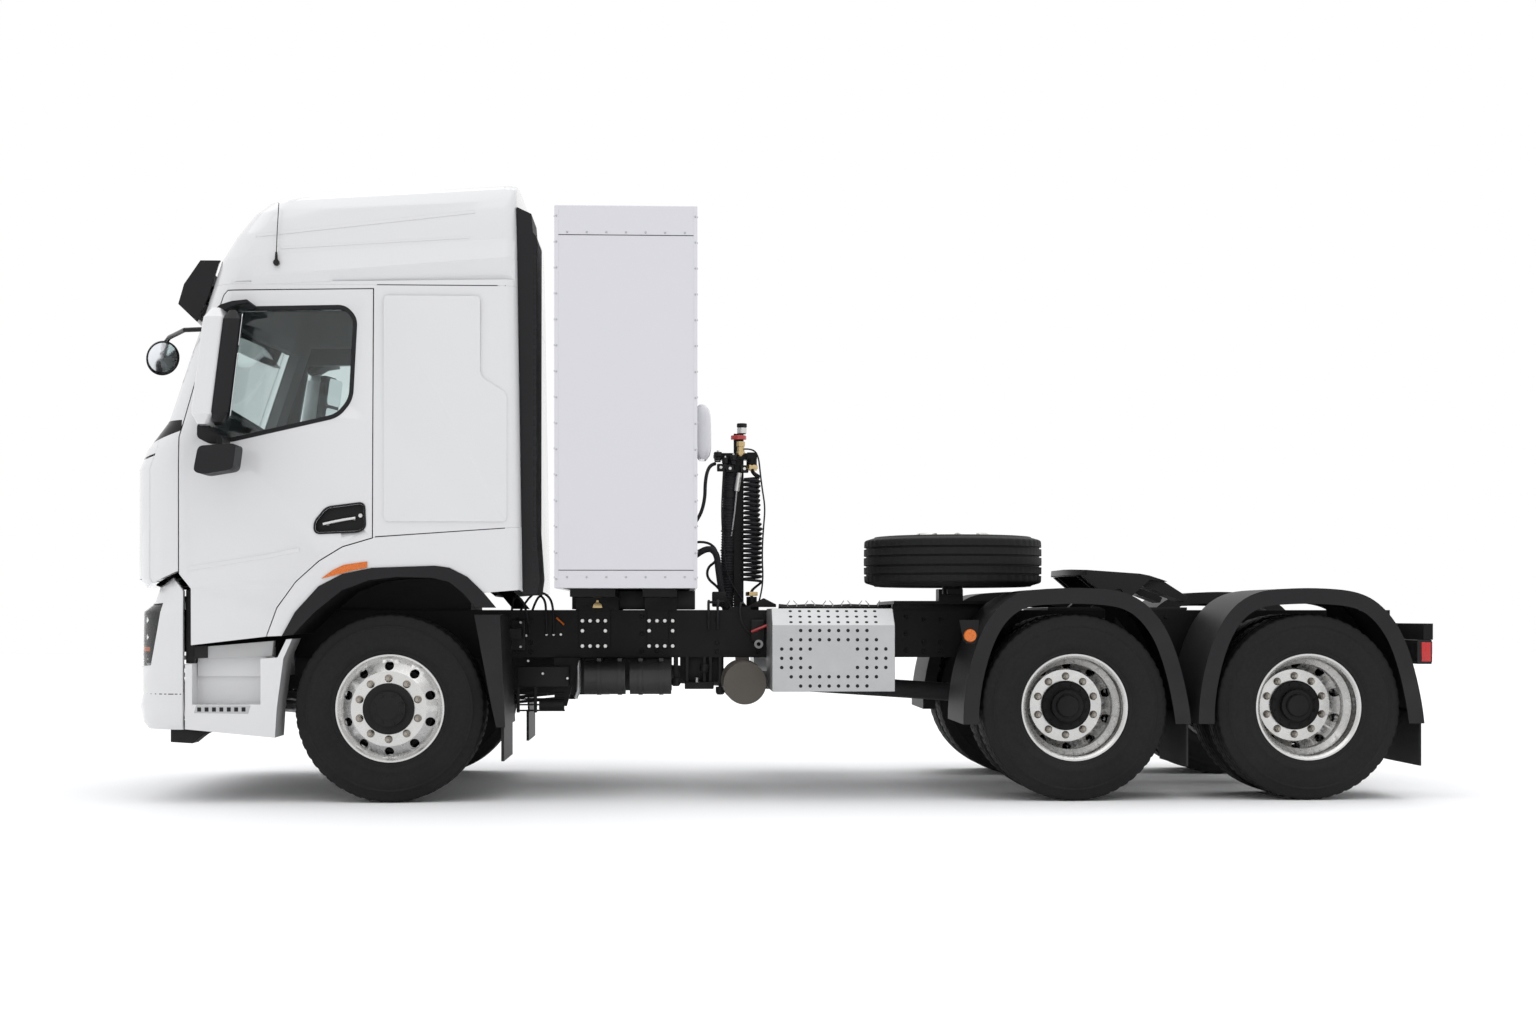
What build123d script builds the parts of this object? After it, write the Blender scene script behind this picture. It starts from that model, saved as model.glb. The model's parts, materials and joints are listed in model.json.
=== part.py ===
from build123d import *
import math
import os

# Six-by-four tractor unit. Lengths are millimetres, +Z is up, the front looks along -X and the
# left side is at -Y. Places are measured from the front axle's centre, on the ground, and the
# finished pieces are moved along X so that the origin is under the middle of the whole vehicle.

# ---- driving dimensions -------------------------------------------------------------------
wheelbase = 3800.0                 # front axle to first drive axle
bogie_spacing = 1322.0             # first to second drive axle
body_half_width = 1245.0
moving_gap = 6.0                   # between a moving piece and its surroundings
seat_gap = 0.3                     # between pieces that are fitted together

tyre_radius = 522.0
tyre_half_width = 149.0
tread_half_width = 120.0
rim_flange_radius = 299.0
rim_seat_radius = 286.0
rim_half_width = 125.0
rim_well_radius = 252.0
rim_thickness = 11.0
disc_offset = 168.0                # rim centre plane to the disc's outer face
disc_thickness = 24.0
disc_bore_radius = 141.0
stud_circle_radius = 167.5
stud_hole_radius = 13.0
hand_hole_circle_radius = 236.0
hand_hole_radius = 25.0
wheel_hole_count = 10
front_tyre_y = 1040.0              # tyre centre plane from the middle of the vehicle
dual_outer_y = body_half_width - tyre_half_width
dual_spacing = 2 * disc_offset + seat_gap
dual_inner_y = dual_outer_y - dual_spacing
front_hub_radius = 96.0
front_hub_reach = 1243.0
rear_hub_reach = 972.0
rear_hub_cap_radius = 90.0
rear_hub_cap_length = 44.0

kingpin_y = 870.0
kingpin_radius = 26.0
kingpin_half_length = 150.0
knuckle_ear_low = 92.0             # a knuckle ear's inner face, from the axle's centre plane
knuckle_half_width = 55.0
spindle_radius = 45.0
steering_arm_length = 190.0
tie_rod_radius = 18.0
tie_rod_drop = 172.0
tie_pin_radius = 14.0
steer_clearance = 0.05             # running clearance at a pin, on its radius
axle_end_radius = 50.0

frame_half_width = 430.0
frame_bottom_z = 787.0
frame_height = 281.0
frame_top_z = frame_bottom_z + frame_height
frame_flange = 80.0
frame_wall = 8.0
frame_front_x = -1180.0
frame_rear_x = 5812.0
cross_member_length = 120.0

engine_half_width = 335.0
engine_front_x = -820.0
engine_rear_x = 360.0
engine_bottom_z = 600.0
engine_top_z = 1262.0
gearbox_half_width = 230.0
gearbox_rear_x = 1180.0
gearbox_bottom_z = 560.0
gearbox_top_z = 1010.0

axle_tube_radius = 70.0
rear_axle_reach = 940.0
axle_nose_reach = 330.0
axle_nose_z = tyre_radius + 30
shaft_flange_length = 40.0

cab_bottom_z = 1176.0
cab_roof_split_z = 2850.0
cab_wall = 55.0
cab_rear_bottom_x = 729.0
cab_rear_lean = 0.0156             # the back wall comes forward by this much per mm of height
cab_corner_y = 1000.0
cab_front_sweep = 70.0
cab_rear_radius = 75.0
cab_floor_bottom_z = 1290.0
cab_floor_thickness = 60.0
floor_half_width = 1165.0          # the doors' front edges swing inside the walls
lid_half_width = 1182.0
lid_rear_x = -1268.0                # where the lid's sides meet the cab's corner panels
windscreen_half_width = 1118.0
glass_thickness = 8.0
glass_setback = 5.0
tilt_pivot_x = -1320.0
tilt_pivot_z = 1040.0
tilt_pin_radius = 15.0
tilt_boss_radius = 30.0
tilt_bracket_y = 360.0
tilt_leg_x = (-1220.0, -1190.0)     # swings up in front of the frame rails' ends
tilt_clear_radius = 244.0          # the bumper's neck stays inside this circle round the pivot
roof_thickness = 45.0
seat_y = 600.0
front_mirror_centre = (-1322.0, -840.0, 2492.0)
cushion_bottom_z = 1700.0
bunk_bottom_z = 1790.0

door_glass_y = 1216.0

bumper_wall = 40.0
bumper_centre_top_z = 1150.0
bumper_neck_inner_y = 985.0
bumper_rear_x = -1112.0
grille_half_width = 560.0
lid_bottom_gap = 12.0               # between the front lid and the bumper under it
lid_top_gap = 12.0                  # between the front lid and the cowl over it
lid_rim_thickness = 15.0            # the lid's top edge is thinned, so that it swings out freely
lid_rim_depth = 30.0
lid_hinge_x = -1422.0
lid_hinge_y = 200.0
lid_hinge_z = 1920.0
lid_hinge_half_width = 16.0
lid_hinge_boss = 14.0
lid_hinge_space = 9.0               # round the boss, in the cowl's notch
lid_pin_radius = 8.0
lid_pin_overhang = 20.0             # the pin's hold in the cowl on each side of the boss
mirror_arm_radius = 16.0
firewall_x = (-1262.0, -1222.0)

cabinet_front_x = 907.0
cabinet_length = 790.0
cabinet_half_width = 1200.0
cabinet_bottom_z = 1186.0
cabinet_top_z = 3305.0
cabinet_wall = 40.0

box_front_x = 2112.0
box_rear_x = 2796.0
box_bottom_z = 612.0
box_top_z = 1075.0
box_bevel_z = 983.0
box_bevel_depth = 120.0
box_outer_y = 1200.0
box_inner_y = 470.0
box_wall = 20.0

spare_x = 3205.0
spare_y = -550.0
spare_z = 1350.0

fifth_pivot_x = 4215.0
fifth_pivot_z = 1168.0
fifth_rest_tilt = 4.0              # degrees, tipped back on its stop
fifth_half_width = 460.0
fifth_top_above_pivot = 126.0
fifth_plate_thickness = 34.0
fifth_pin_radius = 26.0
fifth_bed_thickness = 16.0
kingpin_bore_radius = 26.0
kingpin_bore_length = 60.0

guard_inner_y = 600.0
guard_wall = 8.0
guard_lip = 88.0
guard_inner_lip = 75.0
guard_ends_z = 430.0
# the rear guard's outer edge, from the front end round the top to the rear end
guard_line = [(-628.0, guard_ends_z), (-618.0, 604.0), (-590.0, 751.0), (-544.0, 898.0), (-480.0, 1022.0),
              (-396.0, 1112.0), (-288.0, 1166.0), (-159.0, 1184.0), (0.0, 1189.0), (130.0, 1184.0),
              (250.0, 1168.0), (345.0, 1132.0), (432.0, 1062.0), (504.0, 965.0), (566.0, 824.0),
              (612.0, 659.0), (640.0, 513.0), (650.0, guard_ends_z)]
flap_bottom_z = 192.0

tail_end_x = 5868.0
tail_half_width = 1120.0
tow_bore_z = 930.0
tow_bore_radius = 45.0
stand_x = 1960.0
stand_top_z = 2150.0
stand_arm_z = (1990.0, 2030.0)
coil_x = stand_x + 80
coil_y = 70.0
coil_radius = 42.0
coil_z = (1150.0, 1950.0)

drive_axle_x = (wheelbase, wheelbase + bogie_spacing)
bogie_middle_x = wheelbase + bogie_spacing / 2
ahead_x = -1700.0                   # how far cuts reach, in front of the vehicle
across = (-1300.0, 1300.0)          # and past both of its sides
front_end_x = -1475.0
origin_shift = -(front_end_x + tail_end_x) / 2


# ---- helpers ------------------------------------------------------------------------------
def block(x, y, z):
    """A box from three (low, high) pairs."""
    size = [high - low for low, high in (x, y, z)]
    return Box(*size).moved(Location([(low + high) / 2 for low, high in (x, y, z)]))


def side_prism(points, y):
    """A solid whose outline is seen from the side, as (x, z) points, between two values of y."""
    wire = Polyline([(px, y[0], pz) for px, pz in points], close=True)
    return extrude(make_face(wire), amount=y[1] - y[0], dir=(0, 1, 0))


def rod(start, end, radius):
    """A round bar between two points."""
    a, b = Vector(*start), Vector(*end)
    plane = Plane(origin=a, z_dir=b - a)
    return extrude(plane * Circle(radius), amount=(b - a).length)


def twin(shape):
    """The left-hand shape and its right-hand mirror image."""
    return [shape, mirror(shape, about=Plane.XZ)]


def save(name, *shapes):
    solids = [solid for shape in shapes for solid in shape.solids()]
    export_step(Compound(solids).moved(Location((origin_shift, 0, 0))), f"parts/{name}.step")


# ---- wheels -------------------------------------------------------------------------------
def turned(profile, x, y, z, outward):
    """Revolves (radius, outward distance) points about a wheel's axle, which lies along Y."""
    wire = Polyline([(radius, outward * reach, 0) for radius, reach in profile], close=True)
    return revolve(make_face(wire), axis=Axis.Y).moved(Location((x, y, z)))


def tyre_solid(x, y, z, outward):
    shoulder = tyre_radius - 8
    bead = rim_seat_radius + seat_gap
    half = [
        (bead, rim_half_width - 16),
        (rim_flange_radius + 1, rim_half_width - 16),
        (rim_flange_radius + 3, rim_half_width + 4),
        (345, tyre_half_width - 6),
        (395, tyre_half_width),
        (455, tyre_half_width - 7),
        (shoulder - 14, tread_half_width + 9),
        (shoulder, tread_half_width),
        (tyre_radius, tread_half_width - 45),
    ]
    cavity = [(450, 0), (430, 110), (360, 122), (rim_seat_radius + 16, rim_half_width - 40)]
    outer = half + [(radius, -reach) for radius, reach in reversed(half)]
    inner = cavity + [(radius, -reach) for radius, reach in reversed(cavity[1:])]
    return turned(outer + inner[4:] + inner[:4], x, y, z, outward)


def rim_profile():
    """Half section of a wheel: barrel with its flanges and well, and the dished disc."""
    well, seat, flange, half = rim_well_radius, rim_seat_radius, rim_flange_radius, rim_half_width
    wall = rim_thickness
    back = disc_offset - disc_thickness
    return [
        (flange, half), (flange, half - 8), (seat, half - 14), (seat, half - 41),
        (well, half - 63), (well, 12), (seat, -22), (seat, -half + 14), (flange, -half + 8),
        (flange, -half), (flange - 10, -half), (seat - wall, -half + 12), (seat - wall, -26),
        (well - wall, 9), (well - wall, 66), (262, 88), (205, back), (disc_bore_radius, back),
        (disc_bore_radius, disc_offset), (207, disc_offset), (272, 112), (flange - 10, half),
    ]


def wheel_solid(x, y, z, outward):
    """One wheel: its disc stands outward of the rim's centre plane when outward is its side."""
    wheel = turned(rim_profile(), x, y, z, outward)
    for circle, radius, reach in (
        (stud_circle_radius, stud_hole_radius, (disc_offset - 40, disc_offset + 10)),
        (hand_hole_circle_radius, hand_hole_radius, (82, disc_offset + 10)),
    ):
        for index in range(wheel_hole_count):
            angle = 2 * math.pi * (index + 0.5) / wheel_hole_count
            px, pz = x + circle * math.cos(angle), z + circle * math.sin(angle)
            low, high = y + outward * reach[0], y + outward * reach[1]
            wheel -= rod((px, low, pz), (px, high, pz), radius)
    return wheel


def front_wheels():
    for side, name in ((-1, "left"), (1, "right")):
        y = side * front_tyre_y
        save(f"tyre_front_{name}", tyre_solid(0, y, tyre_radius, side))
        bore = disc_bore_radius
        hub = rod((0, side * (kingpin_y + 97), tyre_radius), (0, side * front_hub_reach, tyre_radius),
                  front_hub_radius)
        plate_out = y + side * (disc_offset - disc_thickness - seat_gap)
        flange = rod((0, side * 1120, tyre_radius), (0, plate_out, tyre_radius), stud_circle_radius + 28)
        neck = rod((0, side * 1120, tyre_radius), (0, side * 1222, tyre_radius), bore - seat_gap)
        spindle_bore = rod((0, side * 900, tyre_radius), (0, side * 1180, tyre_radius), spindle_radius)
        save(f"wheel_front_{name}", wheel_solid(0, y, tyre_radius, side),
             hub + flange + neck - spindle_bore)


def drive_wheels():
    for number, x in enumerate(drive_axle_x, start=1):
        for side, name in ((-1, "left"), (1, "right")):
            outer, inner = side * dual_outer_y, side * dual_inner_y
            tyres = [tyre_solid(x, outer, tyre_radius, -side), tyre_solid(x, inner, tyre_radius, side)]
            save(f"tyres_drive{number}_{name}", *tyres)
            outer_wheel = wheel_solid(x, outer, tyre_radius, -side)
            inner_wheel = wheel_solid(x, inner, tyre_radius, side)
            hub = rod((x, side * 700, tyre_radius), (x, side * rear_hub_reach, tyre_radius),
                      disc_bore_radius - seat_gap)
            hub += rod((x, side * rear_hub_reach, tyre_radius),
                       (x, side * (rear_hub_reach + rear_hub_cap_length), tyre_radius), rear_hub_cap_radius)
            hub -= rod((x, side * 690, tyre_radius), (x, side * (rear_axle_reach + 10), tyre_radius),
                       axle_tube_radius + seat_gap)
            save(f"wheels_drive{number}_{name}", outer_wheel, inner_wheel, hub)


# ---- steering and front axle --------------------------------------------------------------
def steering():
    middle = tyre_radius
    low, high = middle - kingpin_half_length, middle + kingpin_half_length
    for side, name in ((-1, "left"), (1, "right")):
        y = side * kingpin_y
        half = knuckle_half_width
        knuckle = rod((0, y, low), (0, y, high), kingpin_radius)
        for z in ((low, middle - knuckle_ear_low), (middle + knuckle_ear_low, high)):
            knuckle += block((-half, half), sorted((y - side * half, y + side * 64)), z)
        knuckle += block((-60, 60), sorted((y + side * 58, y + side * 90)), (low, high))
        knuckle += rod((0, y + side * 80, middle), (0, side * 1170, middle), spindle_radius - seat_gap)
        arm_z = (low, low + 38)
        arm = block((0, steering_arm_length + 34), sorted((y - side * 34, y + side * 34)), arm_z)
        arm -= rod((steering_arm_length, y, low - 5), (steering_arm_length, y, arm_z[1] + 5), tie_pin_radius)
        save(f"knuckle_{name}", knuckle + arm)
    beam_z = (middle - 85, middle + 85)
    axle = front_axle_beam(middle)
    for side in (-1, 1):
        y = side * kingpin_y
        end = block((-axle_end_radius, axle_end_radius), sorted((y - side * 110, y)), beam_z)
        end += rod((0, y, beam_z[0]), (0, y, beam_z[1]), axle_end_radius)
        axle += end - rod((0, y, beam_z[0] - 5), (0, y, beam_z[1] + 5), kingpin_radius + steer_clearance)
    save("front_axle", axle)
    rod_z = middle - tie_rod_drop
    x = steering_arm_length
    bar = rod((x, -kingpin_y, rod_z), (x, kingpin_y, rod_z), tie_rod_radius)
    for y in (-kingpin_y, kingpin_y):
        bar += rod((x, y, rod_z - 26), (x, y, low - seat_gap), 32)
        bar += rod((x, y, rod_z), (x, y, arm_z[1] - 2), tie_pin_radius - steer_clearance)
    save("tie_rod", bar)


def front_axle_beam(middle):
    """The dropped I-beam between the kingpin bosses, as seen from the front."""
    low, high = middle - 142, middle - 52
    outline = [(-800, middle + 60), (-640, high), (640, high), (800, middle + 60),
               (800, middle - 60), (690, low), (-690, low), (-800, middle - 60)]
    wire = Polyline([(-45, py, pz) for py, pz in outline], close=True)
    return extrude(make_face(wire), amount=90, dir=(1, 0, 0))


def front_spring():
    """A parabolic leaf spring, with an eye in front and a shackle behind."""
    y = (-470.0, -380.0)
    leaves = None
    seat_z = tyre_radius - 52
    for step in range(3):
        z = seat_z + 26 * step
        half = 880 - 60 * step
        leaf = side_prism([(-half, z + 70), (-300, z + 14), (-90, z), (90, z), (300, z + 14),
                           (half, z + 70), (half, z + 84), (300, z + 30), (90, z + 18),
                           (-90, z + 18), (-300, z + 30), (-half, z + 84)], y)
        leaves = leaf if leaves is None else leaves + leaf
    clamp = block((-110, 110), (y[0], y[1]), (seat_z, seat_z + 90))
    eye_z = seat_z + 77
    spring = leaves + clamp
    for x, foot_x, half, drop in ((-900, (-960, -800), 38, 38), (900, (860, 1010), 36, 44)):
        spring += rod((x, y[0], eye_z), (x, y[1], eye_z), 38)
        spring += rod((x, y[0] - 22, eye_z), (x, y[1], eye_z), 18)
        spring += side_prism([(foot_x[0], frame_bottom_z), (foot_x[1], frame_bottom_z),
                              (x + half, eye_z - drop), (x - half, eye_z - drop)],
                             (y[0] - 22, y[0] - seat_gap))
        spring += block(foot_x, (y[0] - 22, -frame_half_width + frame_flange),
                        (frame_bottom_z - 14, frame_bottom_z))
    return spring


# ---- frame --------------------------------------------------------------------------------
def frame():
    outer = block((frame_front_x, frame_rear_x), (-frame_half_width, -frame_half_width + frame_flange),
                  (frame_bottom_z, frame_top_z))
    hollow = block((frame_front_x, frame_rear_x),
                   (-frame_half_width + frame_wall, -frame_half_width + frame_flange),
                   (frame_bottom_z + frame_wall, frame_top_z - frame_wall))
    save("frame_rails", *twin(outer - hollow))
    inside = frame_half_width - frame_wall
    members = []
    for x in (-1110.0, 1420.0, 2900.0, 3560.0, bogie_middle_x, 5650.0):
        low, high = x - cross_member_length / 2, x + cross_member_length / 2
        tube = block((low, high), (-inside, inside), (frame_bottom_z + frame_wall, frame_top_z - frame_wall))
        middle = block((low, high), (-inside + 130, inside - 130), (frame_bottom_z + 200, frame_top_z))
        waist = block((low + 12, high), (-inside, inside), (frame_bottom_z + 24, frame_top_z - 24))
        members.append(tube - waist - middle)
    save("cross_members", *members, tilt_bracket(), tail_beam())


def tilt_bracket():
    """The front beam with the two pairs of ears and pins that carry the cab's front edge."""
    low = frame_bottom_z + 60
    beam = block((frame_front_x - 60, frame_front_x), (-700, 700), (low - 20, frame_top_z - 80))
    x, z, boss = tilt_pivot_x, tilt_pivot_z, tilt_boss_radius
    outline = [(frame_front_x - 30, low), (frame_front_x - 30, 988), (x + 20, z + boss - 4),
               (x - 12, z + boss - 2), (x - boss, z), (x - 12, z - boss), (frame_front_x - 70, low)]
    for side in (-1, 1):
        middle = side * tilt_bracket_y
        for edge in (-44, 28):
            beam += side_prism(outline, (middle + edge, middle + edge + 16))
        beam += rod((x, middle - 36, z), (x, middle + 36, z), tilt_pin_radius)
    return beam


def tail_beam():
    """The lamp beam across the rear end, with the bore of the rear towing jaw."""
    x = (frame_rear_x + seat_gap, tail_end_x)
    beam = block(x, (-tail_half_width, tail_half_width), (898, 990))
    beam += block(x, (-frame_half_width, frame_half_width), (frame_bottom_z, frame_top_z))
    return beam - rod((x[0] - 5, 0, tow_bore_z), (x[1] + 5, 0, tow_bore_z), tow_bore_radius)


def driveline():
    """Engine and gearbox as one block on its mounts, and the two propeller shafts."""
    engine = block((engine_front_x, engine_rear_x), (-engine_half_width, engine_half_width),
                   (engine_bottom_z, engine_top_z))
    engine += block((engine_rear_x, gearbox_rear_x), (-gearbox_half_width, gearbox_half_width),
                    (gearbox_bottom_z, gearbox_top_z))
    web = frame_half_width - frame_wall
    for x, half in ((-560.0, engine_half_width), (250.0, engine_half_width), (1000.0, gearbox_half_width)):
        for side in (-1, 1):
            engine += block((x, x + 90), sorted((side * half, side * web)),
                            (frame_bottom_z + 60, frame_bottom_z + 150))
    nose, gap = axle_nose_reach + seat_gap, shaft_flange_length
    high, low = (gearbox_rear_x, 700.0), (drive_axle_x[0] - nose, axle_nose_z)
    front = rod((high[0] + seat_gap, 0, high[1]), (high[0] + gap, 0, high[1]), 75)
    front += rod((high[0] + gap / 2, 0, high[1]), (low[0] - gap / 2, 0, low[1]), 55)
    front += rod((low[0] - gap, 0, low[1]), (low[0], 0, low[1]), 75)
    between = rod((drive_axle_x[0] + nose, 0, axle_nose_z), (drive_axle_x[1] - nose, 0, axle_nose_z), 52)
    save("driveline", engine, front, between)


def rear_axles():
    shapes = []
    for x in drive_axle_x:
        tube = rod((x, -rear_axle_reach, tyre_radius), (x, rear_axle_reach, tyre_radius), axle_tube_radius)
        bowl = Sphere(215).moved(Location((x, 0, tyre_radius)))
        bowl = bowl & block((x - 215, x + 215), (-170, 170), (tyre_radius - 215, tyre_radius + 215))
        nose = rod((x - axle_nose_reach, 0, axle_nose_z), (x, 0, axle_nose_z), 110)
        tail = rod((x, 0, axle_nose_z), (x + axle_nose_reach, 0, axle_nose_z), 80)
        shapes.append(tube + bowl + nose + tail)
    save("drive_axles", *shapes)


def bogie_spring():
    """A leaf pack that joins the two drive axles and rocks on a trunnion under the frame."""
    middle = bogie_middle_x
    y = (-535.0, -445.0)
    seat_z = tyre_radius + axle_tube_radius + seat_gap
    half = bogie_spacing / 2
    pack = side_prism([(middle - half - 70, seat_z), (middle - half + 70, seat_z),
                       (middle - 160, seat_z + 20), (middle + 160, seat_z + 20),
                       (middle + half - 70, seat_z), (middle + half + 70, seat_z),
                       (middle + half + 70, seat_z + 34), (middle + half - 70, seat_z + 40),
                       (middle + 260, seat_z + 120), (middle - 260, seat_z + 120),
                       (middle - half + 70, seat_z + 40), (middle - half - 70, seat_z + 34)], y)
    saddle = side_prism([(middle - 170, seat_z + 20 - seat_gap), (middle + 170, seat_z + 20 - seat_gap),
                         (middle + 110, tyre_radius - 40), (middle - 110, tyre_radius - 40)],
                        (y[0] - 10, y[1] + 10))
    trunnion = rod((middle, y[0] - 40, tyre_radius + 10), (middle, y[1] + 15, tyre_radius + 10), 74)
    leg = side_prism([(middle - 230, frame_bottom_z), (middle + 230, frame_bottom_z),
                      (middle + 90, tyre_radius - 60), (middle - 90, tyre_radius - 60)],
                     (y[1] + 12, y[1] + 50))
    foot = block((middle - 230, middle + 230), (y[1] + 12, -frame_half_width + frame_flange),
                 (frame_bottom_z - 16, frame_bottom_z))
    return pack + saddle + trunnion + leg + foot


# ---- cab ----------------------------------------------------------------------------------
def rear_x_at(z):
    return cab_rear_bottom_x - cab_rear_lean * (z - cab_bottom_z)


def plan_outline(front_x, side_x, rear_x, half_width, inset=0.0, sweep=cab_front_sweep,
                 corner_y=cab_corner_y):
    """A plan section of the cab: a bowed front, rounded corners, straight sides and a flat back."""
    front_x, side_x, rear_x = front_x + inset, side_x + 0.3 * inset, rear_x - inset
    half_width, corner_y = half_width - inset, corner_y - 0.6 * inset
    radius = max(cab_rear_radius - inset, 12.0)
    bow = (corner_y ** 2 + sweep ** 2) / (2 * sweep)
    control = front_x + sweep + (half_width - corner_y) * corner_y / (bow - sweep)
    middle_x = 0.25 * (front_x + sweep) + 0.5 * control + 0.25 * side_x
    middle_y = 0.25 * corner_y + 0.75 * half_width
    diagonal = radius * (1 - math.sqrt(0.5))
    edges = [ThreePointArc((front_x + sweep, -corner_y), (front_x, 0), (front_x + sweep, corner_y))]
    edges.append(ThreePointArc((front_x + sweep, corner_y), (middle_x, middle_y), (side_x, half_width)))
    edges.append(Line((side_x, half_width), (rear_x - radius, half_width)))
    edges.append(ThreePointArc((rear_x - radius, half_width), (rear_x - diagonal, half_width - diagonal),
                               (rear_x, half_width - radius)))
    edges.append(Line((rear_x, half_width - radius), (rear_x, radius - half_width)))
    edges.append(ThreePointArc((rear_x, radius - half_width), (rear_x - diagonal, diagonal - half_width),
                               (rear_x - radius, -half_width)))
    edges.append(Line((rear_x - radius, -half_width), (side_x, -half_width)))
    edges.append(ThreePointArc((side_x, -half_width), (middle_x, -middle_y),
                               (front_x + sweep, -corner_y)))
    return Face(Wire(edges))


# z, front centre x, x where the corner meets the side, half width
cab_sections = [
    (850.0, -1425.0, -1080.0, 1240.0),
    (1180.0, -1425.0, -1080.0, 1243.0),
    (1240.0, front_end_x, -1080.0, body_half_width),
    (1840.0, front_end_x, -1080.0, body_half_width),
    (1950.0, -1428.0, -1078.0, body_half_width),
    (2100.0, -1304.0, -1050.0, body_half_width),
    (cab_roof_split_z, -1055.0, -825.0, 1235.0),
]

# z at the back, forward slope in degrees, front centre x, corner x, half width
roof_sections = [
    (cab_roof_split_z, 0.0, -1055.0, -825.0, 1235.0),
    (3010.0, 0.6, -1012.0, -780.0, 1226.0),
    (3180.0, 1.8, -930.0, -690.0, 1215.0),
    (3330.0, 3.0, -838.0, -590.0, 1196.0),
    (3400.0, 3.6, -770.0, -510.0, 1160.0),
    (3430.0, 3.8, -680.0, -400.0, 1100.0),
    (3444.0, 3.9, -500.0, -220.0, 940.0),
]


def cab_loft(inset=0.0):
    faces = [plan_outline(front, side, rear_x_at(z), half, inset).moved(Location((0, 0, z)))
             for z, front, side, half in cab_sections]
    return loft(faces, ruled=True)


def roof_loft(inset=0.0, rows=7):
    faces = []
    for z, slope, front, side, half in roof_sections[:rows]:
        rear = rear_x_at(z)
        face = plan_outline(front, side, rear, half, inset)
        face = face.rotate(Axis((rear, 0, 0), (0, 1, 0)), -slope)
        faces.append(face.moved(Location((0, 0, z))))
    return loft(faces, ruled=True)


door_outline = [(-892.0, 2790.0), (-1014.0, 2432.0), (-1130.0, 2011.0), (-1130.0, 1263.0),
                (-1068.0, 1182.0), (-1068.0, 873.0), (-664.0, 920.0), (-606.0, 1079.0),
                (-504.0, 1221.0), (-376.0, 1337.0), (-248.0, 1415.0), (-87.0, 1463.0),
                (-82.0, 2826.0), (-870.0, 2812.0)]
window_outline = [(-985.0, 2075.0), (-880.0, 2700.0), (-240.0, 2715.0), (-190.0, 2660.0),
                  (-212.0, 2225.0), (-280.0, 2140.0), (-880.0, 2000.0)]
arch_outer = [(-574.0, 924.0), (-504.0, 1053.0), (-376.0, 1195.0), (-248.0, 1262.0), (-87.0, 1296.0),
              (256.0, 1308.0), (336.0, 1297.0), (434.0, 1247.0), (522.0, 1160.0)]
arch_inner = [(-514.0, 929.0), (-393.0, 1056.0), (-247.0, 1173.0), (-102.0, 1228.0), (44.0, 1246.0),
              (239.0, 1242.0), (336.0, 1218.0), (414.0, 1155.0)]
arch_tail = [(590.0, 1078.0), (478.0, 1078.0)]
wing_seam = [(-87.0, 1463.0), (727.0, 1523.0)]
wing_outline = (door_outline[6:11] + wing_seam + [(cab_rear_bottom_x, cab_bottom_z)]
                + list(reversed(arch_outer)))
windscreen_z = (2106.0, 2762.0)
sliver = 0.0001                     # keeps an outline's offset from being empty
cowl_seam = [(-1700.0, 1810.0), (-1440.0, 1873.0), (-1165.0, 1940.0), (-1000.0, 1940.0)]
lid_bottom_seam = [(-1700.0, 1190.0), (-1339.0, 1190.0), (-1150.0, 1273.0), (-1090.0, 1299.0)]


def grown(points, amount):
    """A side outline moved outwards all round, as a face in the XZ plane at y 0."""
    face = make_face(Polyline([(px, 0, pz) for px, pz in points], close=True))
    return offset(face, amount=amount, kind=Kind.INTERSECTION)


def side_cut(points, amount, y):
    face = grown(points, amount).moved(Location((0, y[0], 0)))
    return extrude(face, amount=y[1] - y[0], dir=(0, 1, 0))


def below_line(points, drop=0.0):
    """Everything in front of the doors and under a line seen from the side, moved down by drop."""
    lowered = [(px, pz - drop) for px, pz in points]
    return side_prism(lowered + [(lowered[-1][0], 300), (lowered[0][0], 300)], across)


def hinged_lid(lid, cowl):
    """Two bosses on the front lid's top edge, on pins across two notches in the cowl."""
    x, z, boss, half = lid_hinge_x, lid_hinge_z, lid_hinge_boss, lid_hinge_half_width
    reach = half + lid_pin_overhang
    for y in (-lid_hinge_y, lid_hinge_y):
        notch, room = half + moving_gap, boss + lid_hinge_space
        cowl -= block((ahead_x, x + room), (y - notch, y + notch), (1800, z + room))
        cowl += rod((x, y - reach, z), (x, y + reach, z), lid_pin_radius)
        tab = block((x - boss, x + boss), (y - half, y + half), (1840, z))
        tab += rod((x, y - half, z), (x, y + half, z), boss)
        lid += tab - rod((x, y - reach, z), (x, y + reach, z), lid_pin_radius + steer_clearance)
    return lid, cowl


def doors(shell, area, sides):
    window = side_cut(window_outline, sliver, sides)
    band = body_half_width - door_glass_y
    pane = cab_loft(band) - cab_loft(band + glass_thickness)
    pane = pane & side_cut(window_outline, -seat_gap, sides)
    for node, shape in (("door", (shell & area) - window), ("door_glass", pane)):
        for name, half in zip(("left", "right"), twin(shape)):
            save(f"{node}_{name}", half)


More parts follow.
